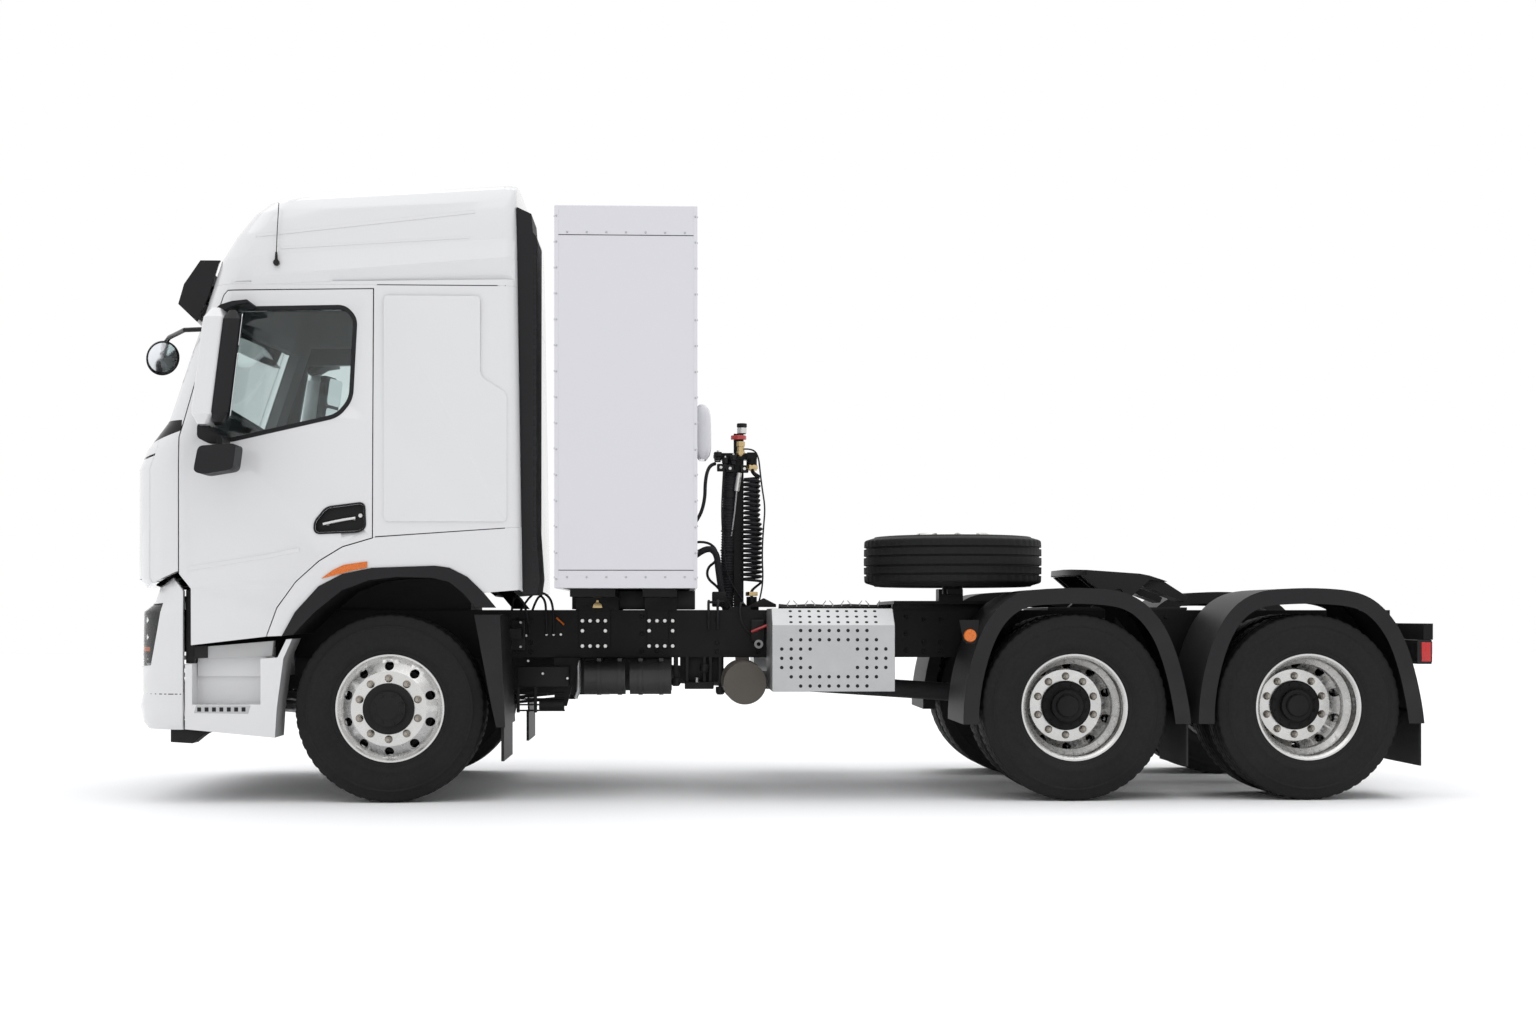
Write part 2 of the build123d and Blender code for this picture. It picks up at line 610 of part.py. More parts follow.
def cab():
    outside = cab_loft()
    shell = outside - cab_loft(cab_wall)
    sides = (-body_half_width - 10, -body_half_width + cab_wall + 25)
    door_hole = side_cut(door_outline, moving_gap, sides)
    doors(shell, side_cut(door_outline, sliver, sides), sides)

    wing = shell & side_cut(wing_outline, -seat_gap, (sides[0], -body_half_width + cab_wall))
    wing = max((wing - door_hole).solids(), key=lambda solid: solid.volume)
    save("cab_wings", *twin(wing))

    front = block((ahead_x, lid_rear_x), (-lid_half_width, lid_half_width), (700, 2900))
    hole_half = lid_half_width + moving_gap
    front_hole = block((ahead_x, lid_rear_x + moving_gap), (-hole_half, hole_half), (700, 2100))
    lid = (shell & front & below_line(cowl_seam)) - below_line(lid_bottom_seam)
    lid -= cab_loft(lid_rim_thickness) - below_line(cowl_seam, lid_rim_depth)
    cowl = (shell & front_hole) - below_line(cowl_seam, -lid_top_gap)
    lid, cowl = hinged_lid(lid, cowl)
    save("front_lid", lid)
    save("cowl", cowl)

    screen_x, screen_y = (-1500, -700), (-windscreen_half_width, windscreen_half_width)
    screen = cab_loft(glass_setback) - cab_loft(glass_setback + glass_thickness)
    save("windscreen", screen & block(screen_x, screen_y, windscreen_z))

    body = shell & block((ahead_x, 900), across, (cab_bottom_z, cab_roof_split_z))
    body -= front_hole
    body -= block(screen_x, (screen_y[0] - seat_gap, screen_y[1] + seat_gap),
                  (windscreen_z[0] - seat_gap, windscreen_z[1] + seat_gap))
    arch_area = [(arch_outer[0][0], 800.0)] + arch_outer + [(arch_outer[-1][0], 800.0)]
    deep = (sides[0], -body_half_width + cab_wall + 15)
    for cut in (door_hole, side_cut(wing_outline, sliver, deep), side_cut(arch_area, sliver, deep)):
        for shape in twin(cut):
            body -= shape
    body -= below_line(lid_bottom_seam)
    body -= block((ahead_x, 740), across, (700, cab_bottom_z + 1))
    save("cab_shell", max(body.solids(), key=lambda solid: solid.volume))

    roof = roof_loft() - roof_loft(roof_thickness, 5)
    groove = []
    for x, half, high, low, depth in ((-860.0, 1236.0, 2868.0, 2858.0, 8.0),
                                      (760.0, 1231.0, 3002.0, 2887.0, 34.0)):
        corners = [(x, -half - 4, high), (x, -half - 4, low), (x, -half + depth, low)]
        groove.append(make_face(Polyline(corners, close=True)))
    for shape in twin(loft(groove, ruled=True)):
        roof -= shape
    save("cab_roof", roof)


def arch_trims():
    """The black wheel-arch lip with the liner behind it, one on each side."""
    y = (-body_half_width - 12, -body_half_width + 30)
    ring = side_prism(arch_outer + arch_tail + list(reversed(arch_inner)), y)
    ring -= side_prism(arch_outer + [(900, 1160), (900, 1400), (-900, 1400), (-900, 924)], y)
    inside = [(px, pz + 14) for px, pz in arch_inner]
    liner = side_prism(inside + list(reversed(arch_inner)), (-body_half_width + 30, -660))
    shelf = block((-40, 200), (-1160, -700), (1252, cab_floor_bottom_z))
    return ring + liner + shelf


def cab_inside():
    floor_z = (cab_floor_bottom_z, cab_floor_bottom_z + cab_floor_thickness)
    inner = cab_loft(cab_wall + seat_gap)
    slab = inner & block((-1240, 640), (-floor_half_width, floor_half_width), floor_z)
    rear_join = inner & block((600, 700), (-1150, 1150), floor_z)
    firewall = inner & block(firewall_x, (-1050, 1050), (cab_floor_bottom_z, 2086))
    firewall += block(firewall_x, (-960, 960), (cab_floor_bottom_z - 90, cab_floor_bottom_z + 1))
    x, z, boss = tilt_pivot_x, tilt_pivot_z, tilt_boss_radius
    leg, leg_top = tilt_leg_x, cab_floor_bottom_z + 5
    arm = [(x - 16, z + boss - 4), (x - boss, z), (x - 16, z - boss + 4), (x, z - boss), (leg[1], z - boss),
           (leg[1], leg_top), (leg[0], leg_top), (leg[0], z + boss), (x, z + boss)]
    floor = slab + rear_join + firewall
    for middle in (-tilt_bracket_y, tilt_bracket_y):
        y = (middle - 20, middle + 20)
        lug = side_prism(arm, y)
        floor += lug - rod((x, y[0] - 5, z), (x, y[1] + 5, z), tilt_pin_radius + steer_clearance)
    floor += block((90, 640), (-1120, 1120), (floor_z[1] - 1, bunk_bottom_z - seat_gap))
    for y in (-seat_y, seat_y):
        floor += block((-560, -180), (y - 190, y + 190), (floor_z[1] - 1, cushion_bottom_z - seat_gap))
    save("cab_floor", floor)

    face_x = firewall_x[1] + seat_gap
    dash = side_prism([(face_x, 1500), (face_x, 2085), (-1130, 2150), (-930, 2150),
                       (-900, 2060), (-1010, 1760), (-1090, 1500)], (-1060, 1060))
    dash = dash & cab_loft(cab_wall + moving_gap)
    dash += rod((-1000, -seat_y, 1900), (-868, -seat_y, 2110), 34)
    for shape in (Torus(215, 15), Cylinder(62, 22), Box(40, 420, 16)):
        dash += shape.rotate(Axis.Y, 32).moved(Location((-860, -seat_y, 2122)))
    save("dashboard", dash)

    seats = []
    low = cushion_bottom_z
    for y in (-seat_y, seat_y):
        cushion = block((-640, -130), (y - 250, y + 250), (low, low + 130))
        back = side_prism([(-200, low + 130), (-80, low + 130), (0, 2420), (-90, 2430)], (y - 240, y + 240))
        head = side_prism([(-86, 2410), (-4, 2400), (20, 2580), (-64, 2590)], (y - 140, y + 140))
        seats.append(cushion + back + head)
    save("seats", *seats)
    save("bunk", block((90, 640), (-1120, 1120), (bunk_bottom_z, bunk_bottom_z + 140)))


def cab_fittings():
    rows = [(2667.0, -1146.0), (2765.0, -1247.0), (2876.0, -1214.0), (3008.0, -1125.0)]

    def shell_at(inset):
        faces = [plan_outline(front, front + 380, 0.0, 1180.0, inset).moved(Location((0, 0, z)))
                 for z, front in rows]
        return loft(faces, ruled=True)

    visor = (shell_at(0.0) - shell_at(14.0)) & block((-1400, -960), (-1058, 1058), (2660, 3010))
    cap = side_prism([(-950, 3008), (-1060, 3008), (-1150, 2876), (-1182, 2765), (-1080, 2667),
                      (-1020, 2800), (-960, 2990)], (-1058, -1040))
    visor = visor + twin(cap)[0] + twin(cap)[1]
    for y, front in ((300.0, -1190.0), (820.0, -1156.0)):
        for side in (-1, 1):
            visor += block((front, -900), sorted((side * y - 12, side * y + 12)), (2865, 2900))
    visor -= cab_loft(-seat_gap) + roof_loft(-seat_gap)
    visor = max(visor.solids(), key=lambda solid: solid.volume)
    save("sun_visor", visor)

    duct = side_prism([(rear_x_at(1160) + seat_gap, 1150), (812, 1150), (824, 1240), (806, 1500), (808, 3130),
                       (786, 3160), (778, 3262), (rear_x_at(3300) + seat_gap, 3300)], (-1160, -760))
    save("air_intake", duct)

    facing = Plane(origin=front_mirror_centre, z_dir=(-0.36, 0.80, 0.48))
    bowl = (Sphere(108) & Cylinder(108, 70).moved(Location((0, 0, 27)))).moved(facing.location)
    route = [(-1340, -800, 2540), (-1262, -930, 2596), (-1120, -1165, 2605), (-940, -1185, 2610)]
    for start, end in zip(route, route[1:]):
        bowl += rod(start, end, mirror_arm_radius)
    for corner in route[1:3]:
        bowl += Sphere(mirror_arm_radius).moved(Location(corner))
    whole = bowl - cab_loft(-seat_gap)
    save("front_mirror", max(whole.solids(), key=lambda solid: solid.volume))
    save("arch_trims", *twin(arch_trims()))


def door_mirrors():
    for side, name in ((0, "left"), (1, "right")):
        housing = side_prism([(-925, 2672), (-850, 2672), (-925, 2050), (-1002, 2050)], (-1600, -1330))
        upper = side_prism([(-940, 2660), (-860, 2720), (-700, 2745), (-700, 2700), (-830, 2660)],
                           (-1460, -1225))
        lower = side_prism([(-1000, 2050), (-925, 2050), (-840, 1985), (-840, 1940), (-985, 1975)],
                           (-1460, -1225))
        small = side_prism([(-955, 1940), (-745, 1955), (-770, 1800), (-985, 1770)], (-1580, -1380))
        drop = block((-890, -840), (-1470, -1430), (1900, 1990))
        whole = housing + upper + lower + small + drop - cab_loft(-seat_gap)
        save(f"mirror_{name}", twin(whole)[side])


# ---- bumper, lamps and steps --------------------------------------------------------------
# z, front centre x
bumper_sections = [
    (412.0, -1420.0), (445.0, -1452.0), (540.0, -1474.0), (600.0, -1455.0), (745.0, -1462.0),
    (1055.0, -1456.0), (1110.0, -1380.0), (1190.0, -1350.0), (1260.0, -1262.0),
]


def bumper_loft(inset=0.0):
    faces = [plan_outline(front, -1085.0, 0.0, 1238.0, inset).moved(Location((0, 0, z)))
             for z, front in bumper_sections]
    return loft(faces, ruled=True)


def bumper():
    outer, inner = bumper_loft(), bumper_loft(bumper_wall)
    shell = (outer - inner) & block((ahead_x, bumper_rear_x), across, (400, 1300))
    shell = shell & below_line(lid_bottom_seam, lid_bottom_gap)
    shell -= block((ahead_x, 0), (-bumper_neck_inner_y, bumper_neck_inner_y), (bumper_centre_top_z, 1300))
    pivot = rod((tilt_pivot_x, across[0], tilt_pivot_z), (tilt_pivot_x, across[1], tilt_pivot_z),
                tilt_clear_radius)
    shell -= block((tilt_pivot_x, 0), across, (tilt_pivot_z, 1300)) - pivot
    lamp_zone = side_prism([(-1600, 1075), (-1230, 1104), (-1262, 940), (-1300, 762), (-1600, 740)],
                           (-1225, -760))
    lamps = []
    for zone in twin(lamp_zone):
        lamps.append((bumper_loft(6.0) - bumper_loft(bumper_wall + 30)) & zone)
        shell -= zone
    shell -= block((-1600, -1200), (-grille_half_width, grille_half_width), (640, 960))
    grille = bumper_loft(14.0) - bumper_loft(bumper_wall)
    for z in range(660, 950, 52):
        slat = block((-1600, -1200), (-grille_half_width - 10, grille_half_width + 10), (z, z + 26))
        shell += slat & grille
    shell = max(shell.solids(), key=lambda solid: solid.volume)
    for side in (-1, 1):
        shell += block((-1390, frame_front_x - 60), sorted((side * 600, side * 680)), (860, 960))
    save("bumper", shell)
    save("headlamps", *lamps)


def steps():
    outline = [(-1100, 414), (-1100, 768), (-600, 806), (-552, 905), (-520, 908), (-568, 800),
               (-604, 526), (-614, 366)]
    body = side_prism(outline, (-1240, -985))
    pocket = block((-1062, -692), (-1260, -1100), (548, 900))
    lower = side_prism([(-1075, 430), (-1075, 520), (-650, 520), (-640, 390)], (-1215, -900))
    riser = block((-1060, -640), (-1120, -1070), (700, 862))
    body = body - pocket - lower + riser
    for x in (-1070.0, -720.0):
        body += block((x, x + 60), (-1000, -frame_half_width), (690, 750))
        body += block((x, x + 60), (-frame_half_width - 30, -frame_half_width), (690, 860))
    save("step_panels", *twin(body))


def front_flaps():
    """The part of the front wheel's guard that stays on the frame, with its rubber flap."""
    lip = side_prism([(470, 1040), (606, 1040), (634, 420), (590, 420), (560, 560)], (-1240, -1205))
    sheet = side_prism([(600, 1040), (612, 1040), (640, 420), (628, 420)], (-1240, -560))
    flap = block((614, 630), (-1190, -620), (230, 424))
    arm = block((600, 680), (-640, -frame_half_width), (900, 960))
    save("front_flaps", *twin(lip + sheet + flap + arm))


# ---- things on the frame ------------------------------------------------------------------
def cabinet():
    x = (cabinet_front_x, cabinet_front_x + cabinet_length)
    inner_x = (x[0] + cabinet_wall, x[1] - cabinet_wall)
    inner_half = cabinet_half_width - cabinet_wall
    hull = block(x, (-cabinet_half_width, cabinet_half_width), (cabinet_bottom_z, cabinet_top_z))
    hull -= block(inner_x, (-inner_half, inner_half), (cabinet_bottom_z - 10, cabinet_top_z - cabinet_wall))
    save("gas_cabinet", hull)
    base = block((inner_x[0] + seat_gap, inner_x[1] - seat_gap),
                 (seat_gap - inner_half, inner_half - seat_gap), (cabinet_bottom_z, cabinet_bottom_z + 30))
    for low, high in ((987.0, 1240.0), (1391.0, 1581.0)):
        base += block((low, high), (-1100, 1100), (cabinet_bottom_z - 46, cabinet_bottom_z))
        for side in (-1, 1):
            plate_y = sorted((side * frame_half_width, side * (frame_half_width + 14)))
            base += block((low, high), sorted((side * 350, side * 470)), (frame_top_z, cabinet_bottom_z))
            base += block((low + 15, high - 50), plate_y, (843, frame_top_z + 40))
    save("cabinet_base", base)


def tanks():
    """Two air tanks end to end beside the frame and one across it, held by straps."""
    y, z = -640.0, 678.0
    along = None
    for low, high in ((1048.0, 1285.0), (1310.0, 1550.0)):
        tank = rod((low, y, z), (high, y, z), 100)
        along = tank if along is None else along + tank
    for x in (1120.0, 1240.0, 1360.0, 1480.0):
        along += rod((x, y, z), (x + 24, y, z), 104)
        along += block((x, x + 24), (y - 50, -frame_half_width), (770, frame_bottom_z))
        along += block((x, x + 24), (-470, -frame_half_width + 60), (775, frame_bottom_z))
    x, z = 1969.0, 651.0
    crosswise = rod((x, -950, z), (x, -300, z), 121)
    for y in (-480.0, -400.0):
        crosswise += rod((x, y, z), (x, y + 26, z), 126)
    crosswise += block((x - 40, x + 40), (-480, -374), (760, frame_bottom_z))
    save("air_tanks", along, crosswise)


def side_boxes():
    outline = [(box_inner_y, box_bottom_z), (box_outer_y, box_bottom_z), (box_outer_y, box_bevel_z),
               (box_outer_y - box_bevel_depth, box_top_z), (box_inner_y, box_top_z)]
    wire = Polyline([(box_front_x, -py, pz) for py, pz in outline], close=True)
    case = extrude(make_face(wire), amount=box_rear_x - box_front_x, dir=(1, 0, 0))
    case -= block((box_front_x + box_wall, box_rear_x - box_wall),
                  (-box_outer_y + box_bevel_depth + box_wall, -box_inner_y + 10),
                  (box_bottom_z + box_wall, box_top_z - box_wall))
    for x in (box_front_x + 120, box_rear_x - 180):
        case += block((x, x + 60), (-box_outer_y + box_bevel_depth + 10, -frame_half_width), (800, 900))
    save("battery_box", case)
    drum_x = (box_front_x - 40, box_rear_x + 60)
    drum = block(drum_x, (520, 1180), (600, 1060))
    drum = fillet(drum.edges().filter_by(Axis.X), 110)
    for x in (drum_x[0] + 120, drum_x[1] - 180):
        drum += block((x, x + 60), (frame_half_width, 560), (800, 900))
    drum += rod((drum_x[1] - 200, 1000, 700), (drum_x[1] + 120, 1000, 700), 62)
    save("silencer", drum)


def spare():
    base = Location((spare_x, spare_y, spare_z)) * Location((0, 0, 0), (1, 0, 0), 90)
    flat_tyre = tyre_solid(0, 0, 0, 1).moved(base)
    flat_rim = wheel_solid(0, 0, 0, 1).moved(base)
    save("spare_tyre", flat_tyre)
    save("spare_rim", flat_rim)
    x, y, top = (spare_x - 340, spare_x + 340), -frame_half_width, frame_top_z + 34
    carrier = block(x, (y - 60, frame_half_width), (top, top + 20))
    for low in (y, frame_half_width - frame_flange):
        carrier += block(x, (low, low + frame_flange), (frame_top_z, top))
    carrier += block((spare_x - 72, spare_x + 72), (y - 60, y + 80), (top + 20, 1192))
    carrier += block((spare_x - 40, spare_x + 40), (spare_y - 90, y + 80), (1160, 1192))
    disc_z = spare_z + disc_offset - disc_thickness
    carrier += rod((spare_x, spare_y, 1160), (spare_x, spare_y, disc_z - seat_gap), 60)
    carrier += rod((spare_x, spare_y, disc_z - 24), (spare_x, spare_y, disc_z - seat_gap), 190)
    save("spare_carrier", carrier)


def fifth_wheel():
    x, z = fifth_pivot_x, fifth_pivot_z
    bed_top = frame_top_z + fifth_bed_thickness
    base = block((x - 420, x + 420), (-frame_half_width, frame_half_width), (frame_top_z, bed_top))
    ear = [(x - 150, bed_top), (x + 150, bed_top), (x + 46, z + 10), (x + 20, z + 42), (x - 20, z + 42),
           (x - 46, z + 10)]
    for side in (-1, 1):
        base += side_prism(ear, sorted((side * 395, side * 330)))
        base += rod((x, side * 284, z), (x, side * 446, z), fifth_pin_radius - steer_clearance)
    save("fifth_wheel_base", base)

    top = fifth_pivot_z + fifth_top_above_pivot
    thickness = fifth_plate_thickness
    half_plan = [(x - 292, -200), (x - 268, -330), (x - 200, -fifth_half_width), (x + 150, -fifth_half_width),
                 (x + 280, -430), (x + 420, -330), (x + 420, -210), (x + 40, -kingpin_bore_radius - 14)]
    plan = half_plan + [(px, -py) for px, py in reversed(half_plan)]
    wire = Polyline([(px, py, top - thickness) for px, py in plan], close=True)
    deck = extrude(make_face(wire), amount=thickness, dir=(0, 0, 1))
    ramp = side_prism([(x + 110, top + 1), (x + 440, top + 1), (x + 440, top - 122), (x + 300, top - 34),
                       (x + 180, top - 7)], (-500, 500))
    deck -= ramp
    lower_ramp = side_prism([(x + 150, top - 20), (x + 260, top - 26), (x + 428, top - 118),
                             (x + 414, top - 150), (x + 210, top - 90), (x + 100, top - 60)], (-420, -215))
    for shape in twin(lower_ramp):
        deck += shape
    for low, high in ((-460, -412), (-318, -282)):
        rib = side_prism([(x - 230, top - thickness), (x + 180, top - thickness), (x + 60, z - 34),
                          (x - 60, z - 34)], (low, high))
        for shape in twin(rib):
            deck += shape
    jaw = block((x - 90, x + 30), (-110, 110), (top - kingpin_bore_length, top - thickness))
    deck += jaw
    deck -= rod((x, 0, top - 100), (x, 0, top + 10), kingpin_bore_radius)
    deck -= block((x, x + 60), (-kingpin_bore_radius, kingpin_bore_radius), (top - 100, top + 10))
    for side in (-1, 1):
        deck -= rod((x, side * 270, z), (x, side * 470, z), fifth_pin_radius)
    save("fifth_wheel_plate", deck.rotate(Axis((x, 0, z), (0, 1, 0)), fifth_rest_tilt))


def rear_guards():
    """An arched cover over each pair of dual tyres, with a lip on both sides and a rubber flap."""
    def arch(x, inset, y):
        points = []
        for index, (px, pz) in enumerate(guard_line):
            before, after = guard_line[max(index - 1, 0)], guard_line[min(index + 1, len(guard_line) - 1)]
            run, rise = after[0] - before[0], after[1] - before[1]
            length = math.hypot(run, rise)
            drop = inset * run / length if 0 < index < len(guard_line) - 1 else 0
            points.append((x + px + inset * rise / length, y[0], pz - drop))
        face = make_face(Wire([Spline(*points), Line(points[-1], points[0])]))
        return extrude(face, amount=y[1] - y[0], dir=(0, 1, 0))

    shapes = []
    for x in drive_axle_x:
        outer_y = (-body_half_width, -guard_inner_y)
        cover = arch(x, 0.0, outer_y) - arch(x, guard_wall, (outer_y[0] - 5, outer_y[1] + 5))
        for edge, depth in ((-body_half_width, guard_lip), (-guard_inner_y - guard_wall, guard_inner_lip)):
            lip = arch(x, 0.0, (edge, edge + guard_wall))
            cover += lip - arch(x, depth, (edge - 5, edge + guard_wall + 5))
        flap_x = x + guard_line[-1][0] - 24
        cover += block((flap_x, flap_x + 10), (-body_half_width + 12, -guard_inner_y),
                       (flap_bottom_z, guard_ends_z + 60))
        for stay_x in (x - 300, x + 330):
            cover += rod((stay_x, -guard_inner_y, 1000), (stay_x, -frame_half_width, 1000), 21)
            cover += block((stay_x - 30, stay_x + 30), (-guard_inner_y - guard_wall, -guard_inner_y),
                           (960, 1120))
        shapes.append(cover)
    save("rear_guards", *[shape for guard in shapes for shape in twin(guard)])


def tail_lamps():
    lamp = block((tail_end_x - 92, tail_end_x - 6), (-tail_half_width, 300 - tail_half_width),
                 (760, 898 - seat_gap))
    save("tail_lamps", *twin(lamp))


def hose_stand():
    x, foot_z = stand_x, (frame_top_z, frame_top_z + 20)
    stand = block((x - 60, x + 60), (-frame_half_width, frame_half_width), foot_z)
    stand += block((x - 30, x + 30), (-30, 30), (foot_z[1], stand_top_z))
    stand += block((x - 150, x + 110), (-45, 45), stand_arm_z)
    stand += block((x + 50, x + 110), (-100, 100), stand_arm_z)
    stand += block((x + 40, x + 120), (-110, 110), foot_z)
    stand += rod((x - 74, 0, foot_z[1]), (x - 50, 0, stand_arm_z[0]), 40)
    stand += rod((x + 20, 0, stand_top_z), (x + 20, 0, stand_top_z + 65), 26)
    for y, name in ((-coil_y, "left"), (coil_y, "right")):
        stand += rod((coil_x, y, coil_z[1]), (coil_x, y, stand_arm_z[0]), 30)
        stand += rod((coil_x, y, foot_z[1]), (coil_x, y, coil_z[0]), 30)
        save(f"coiled_hose_{name}", rod((coil_x, y, coil_z[0]), (coil_x, y, coil_z[1]), coil_radius))
    save("hose_stand", stand)


os.makedirs("parts", exist_ok=True)
front_wheels()
drive_wheels()
steering()
save("leaf_springs", *twin(front_spring()), *twin(bogie_spring()))
frame()
driveline()
rear_axles()
cab()
cab_inside()
cab_fittings()
door_mirrors()
bumper()
steps()
front_flaps()
cabinet()
tanks()
side_boxes()
spare()
fifth_wheel()
rear_guards()
tail_lamps()
hose_stand()
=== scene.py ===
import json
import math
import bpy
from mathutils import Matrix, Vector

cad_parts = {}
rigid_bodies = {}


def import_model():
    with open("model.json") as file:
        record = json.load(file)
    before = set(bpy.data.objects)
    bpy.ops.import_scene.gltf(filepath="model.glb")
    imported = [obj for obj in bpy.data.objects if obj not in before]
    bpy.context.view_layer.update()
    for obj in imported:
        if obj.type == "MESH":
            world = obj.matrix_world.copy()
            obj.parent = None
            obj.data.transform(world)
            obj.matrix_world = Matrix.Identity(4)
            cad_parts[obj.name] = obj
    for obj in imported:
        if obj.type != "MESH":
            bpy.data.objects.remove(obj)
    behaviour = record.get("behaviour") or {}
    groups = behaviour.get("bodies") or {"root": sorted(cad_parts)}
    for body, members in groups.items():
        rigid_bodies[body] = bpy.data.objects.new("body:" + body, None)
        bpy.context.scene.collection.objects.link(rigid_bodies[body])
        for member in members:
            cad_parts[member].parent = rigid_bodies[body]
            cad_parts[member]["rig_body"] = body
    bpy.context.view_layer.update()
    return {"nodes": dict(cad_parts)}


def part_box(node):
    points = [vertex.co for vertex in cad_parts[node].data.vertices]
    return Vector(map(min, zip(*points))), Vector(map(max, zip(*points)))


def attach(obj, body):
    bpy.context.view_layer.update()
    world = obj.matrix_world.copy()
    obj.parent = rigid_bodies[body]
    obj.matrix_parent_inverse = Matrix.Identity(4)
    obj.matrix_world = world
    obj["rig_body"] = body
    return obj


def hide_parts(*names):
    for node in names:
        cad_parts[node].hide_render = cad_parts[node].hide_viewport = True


bl_info = {
    "name": "Tractor unit",
    "version": (1, 0, 0),
    "blender": (4, 5, 0),
    "location": "View3D > Sidebar > Tractor",
    "description": "Dresses the packed tractor unit with its visible pieces and finishes",
    "category": "Object",
}

import bmesh
import bpy
from mathutils import Vector
from mathutils.bvhtree import BVHTree

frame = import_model()

# ---- places taken from the frame ----------------------------------------------------------
# Lengths in this file are millimetres from the front axle, on the ground, in the middle plane.
low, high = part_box("tyre_front_left")
AXLE_X = (low.x + high.x) / 2
TYRE_RADIUS = (high.z - low.z) * 500
low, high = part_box("cab_shell")
HALF_WIDTH = (high.y - low.y) * 500


def drive_axle(number):
    """The place of a drive axle along the frame."""
    low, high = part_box(f"tyres_drive{number}_left")
    return ((low.x + high.x) / 2 - AXLE_X) * 1000


DRIVE_AXLES = (drive_axle(1), drive_axle(2))
FRONT_TYRE_Y = (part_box("tyre_front_right")[0].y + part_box("tyre_front_right")[1].y) * 500
TYRE_HALF_WIDTH = (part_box("tyre_front_right")[1].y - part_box("tyre_front_right")[0].y) * 500
DUAL_OUTER_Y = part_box("tyres_drive1_right")[1].y * 1000 - TYRE_HALF_WIDTH
DUAL_INNER_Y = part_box("tyres_drive1_right")[0].y * 1000 + TYRE_HALF_WIDTH
SIDES = ((-1, "left"), (1, "right"))


def place(x, y, z):
    """A point in the row's frame, in metres."""
    return Vector((AXLE_X + x / 1000, y / 1000, z / 1000))


def node_box(node):
    """A node's lowest and highest corners, in this file's millimetres."""
    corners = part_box(node)
    return [Vector(((c.x - AXLE_X) * 1000, c.y * 1000, c.z * 1000)) for c in corners]


# ---- sizes and colours that a user would change -------------------------------------------
def colour(name, description, default):
    """A colour that the panel shows."""
    return bpy.props.FloatVectorProperty(name=name, description=description, default=default,
                                         subtype="COLOR", size=3, min=0.0, max=1.0)


def length(name, description, default, low=0.0001, high=20.0):
    """A length that the panel shows."""
    return bpy.props.FloatProperty(name=name, description=description, default=default,
                                   min=low, max=high, unit="LENGTH", subtype="DISTANCE")


class TractorColours(bpy.types.PropertyGroup):
    """Colours of the finishes."""
    cab: colour("Cab paint", "Clear-coated paint of the cab", (0.665, 0.665, 0.672))
    cabinet: colour("Cabinet paint", "Paint of the gas bottle cabinet", (0.625, 0.62, 0.655))
    frame: colour("Frame paint", "Paint of the frame and its brackets", (0.005, 0.005, 0.0055))
    plastic: colour("Black plastic", "Moulded arches, guards and trims", (0.0085, 0.0085, 0.0095))
    rubber: colour("Rubber", "Tyre rubber", (0.0065, 0.0065, 0.007))
    glass: colour("Glass tint", "Tint of the cab's glass", (0.76, 0.83, 0.825))
    upholstery: colour("Upholstery", "Woven cloth of the seats and bunk", (0.05, 0.055, 0.065))


class TractorSizes(bpy.types.PropertyGroup):
    """Sizes of the small pieces."""
    panel_round: length("Panel edge", "Rounding of a painted panel's edges", 0.004)
    bolt_radius: length("Bolt head", "Radius of a frame bolt's head", 0.014)
    rivet_radius: length("Rivet head", "Radius of a cabinet rivet's head", 0.006)
    hose_diameter: length("Air hose", "Outer diameter of a curly air hose", 0.014)
    hole_radius: length("Perforation", "Radius of a hole in the battery box", 0.010)


class TractorCamera(bpy.types.PropertyGroup):
    """The camera of the main view."""
    distance: length("Distance", "From the body's left side to the camera", 11.05)
    height: length("Height", "Height of the lens above the ground", 1.0387)
    along: length("Along", "From the front axle towards the rear", 1.604, -20.0)
    yaw: bpy.props.FloatProperty(name="Yaw", description="Turn towards the rear", default=math.radians(2.5),
                                 subtype="ANGLE", unit="ROTATION")
    lens: bpy.props.FloatProperty(name="Lens", description="Focal length", default=46.9, unit="CAMERA")


# ---- shader node groups -------------------------------------------------------------------
def group_tree(name, inputs, outputs):
    """An empty shader group with (name, type, default) inputs and (name, type) outputs."""
    tree = bpy.data.node_groups.new(name, "ShaderNodeTree")
    for label, kind, default in inputs:
        socket = tree.interface.new_socket(name=label, in_out="INPUT", socket_type=f"NodeSocket{kind}")
        socket.default_value = default
    for label, kind in outputs:
        tree.interface.new_socket(name=label, in_out="OUTPUT", socket_type=f"NodeSocket{kind}")
    return tree, tree.nodes.new("NodeGroupInput"), tree.nodes.new("NodeGroupOutput")


def node(tree, kind, links=None, **values):
    """Adds a node, sets its attributes or sockets by name, and links its inputs."""
    made = tree.nodes.new(f"ShaderNode{kind}")
    for key, value in values.items():
        if hasattr(made, key):
            setattr(made, key, value)
        else:
            made.inputs[key.replace("_", " ")].default_value = value
    for socket, source in (links or {}).items():
        tree.links.new(source, made.inputs[socket])
    return made


def noise(tree, vector, scale, detail=4.0, roughness=0.55):
    """A noise value at each point."""
    made = node(tree, "TexNoise", {"Vector": vector}, Scale=scale, Detail=detail, Roughness=roughness)
    return made.outputs["Fac"]


def ramp(tree, value, low, high):
    """A value spread from 0 to 1 between two thresholds."""
    made = node(tree, "MapRange", {"Value": value}, From_Min=low, From_Max=high)
    return made.outputs["Result"]


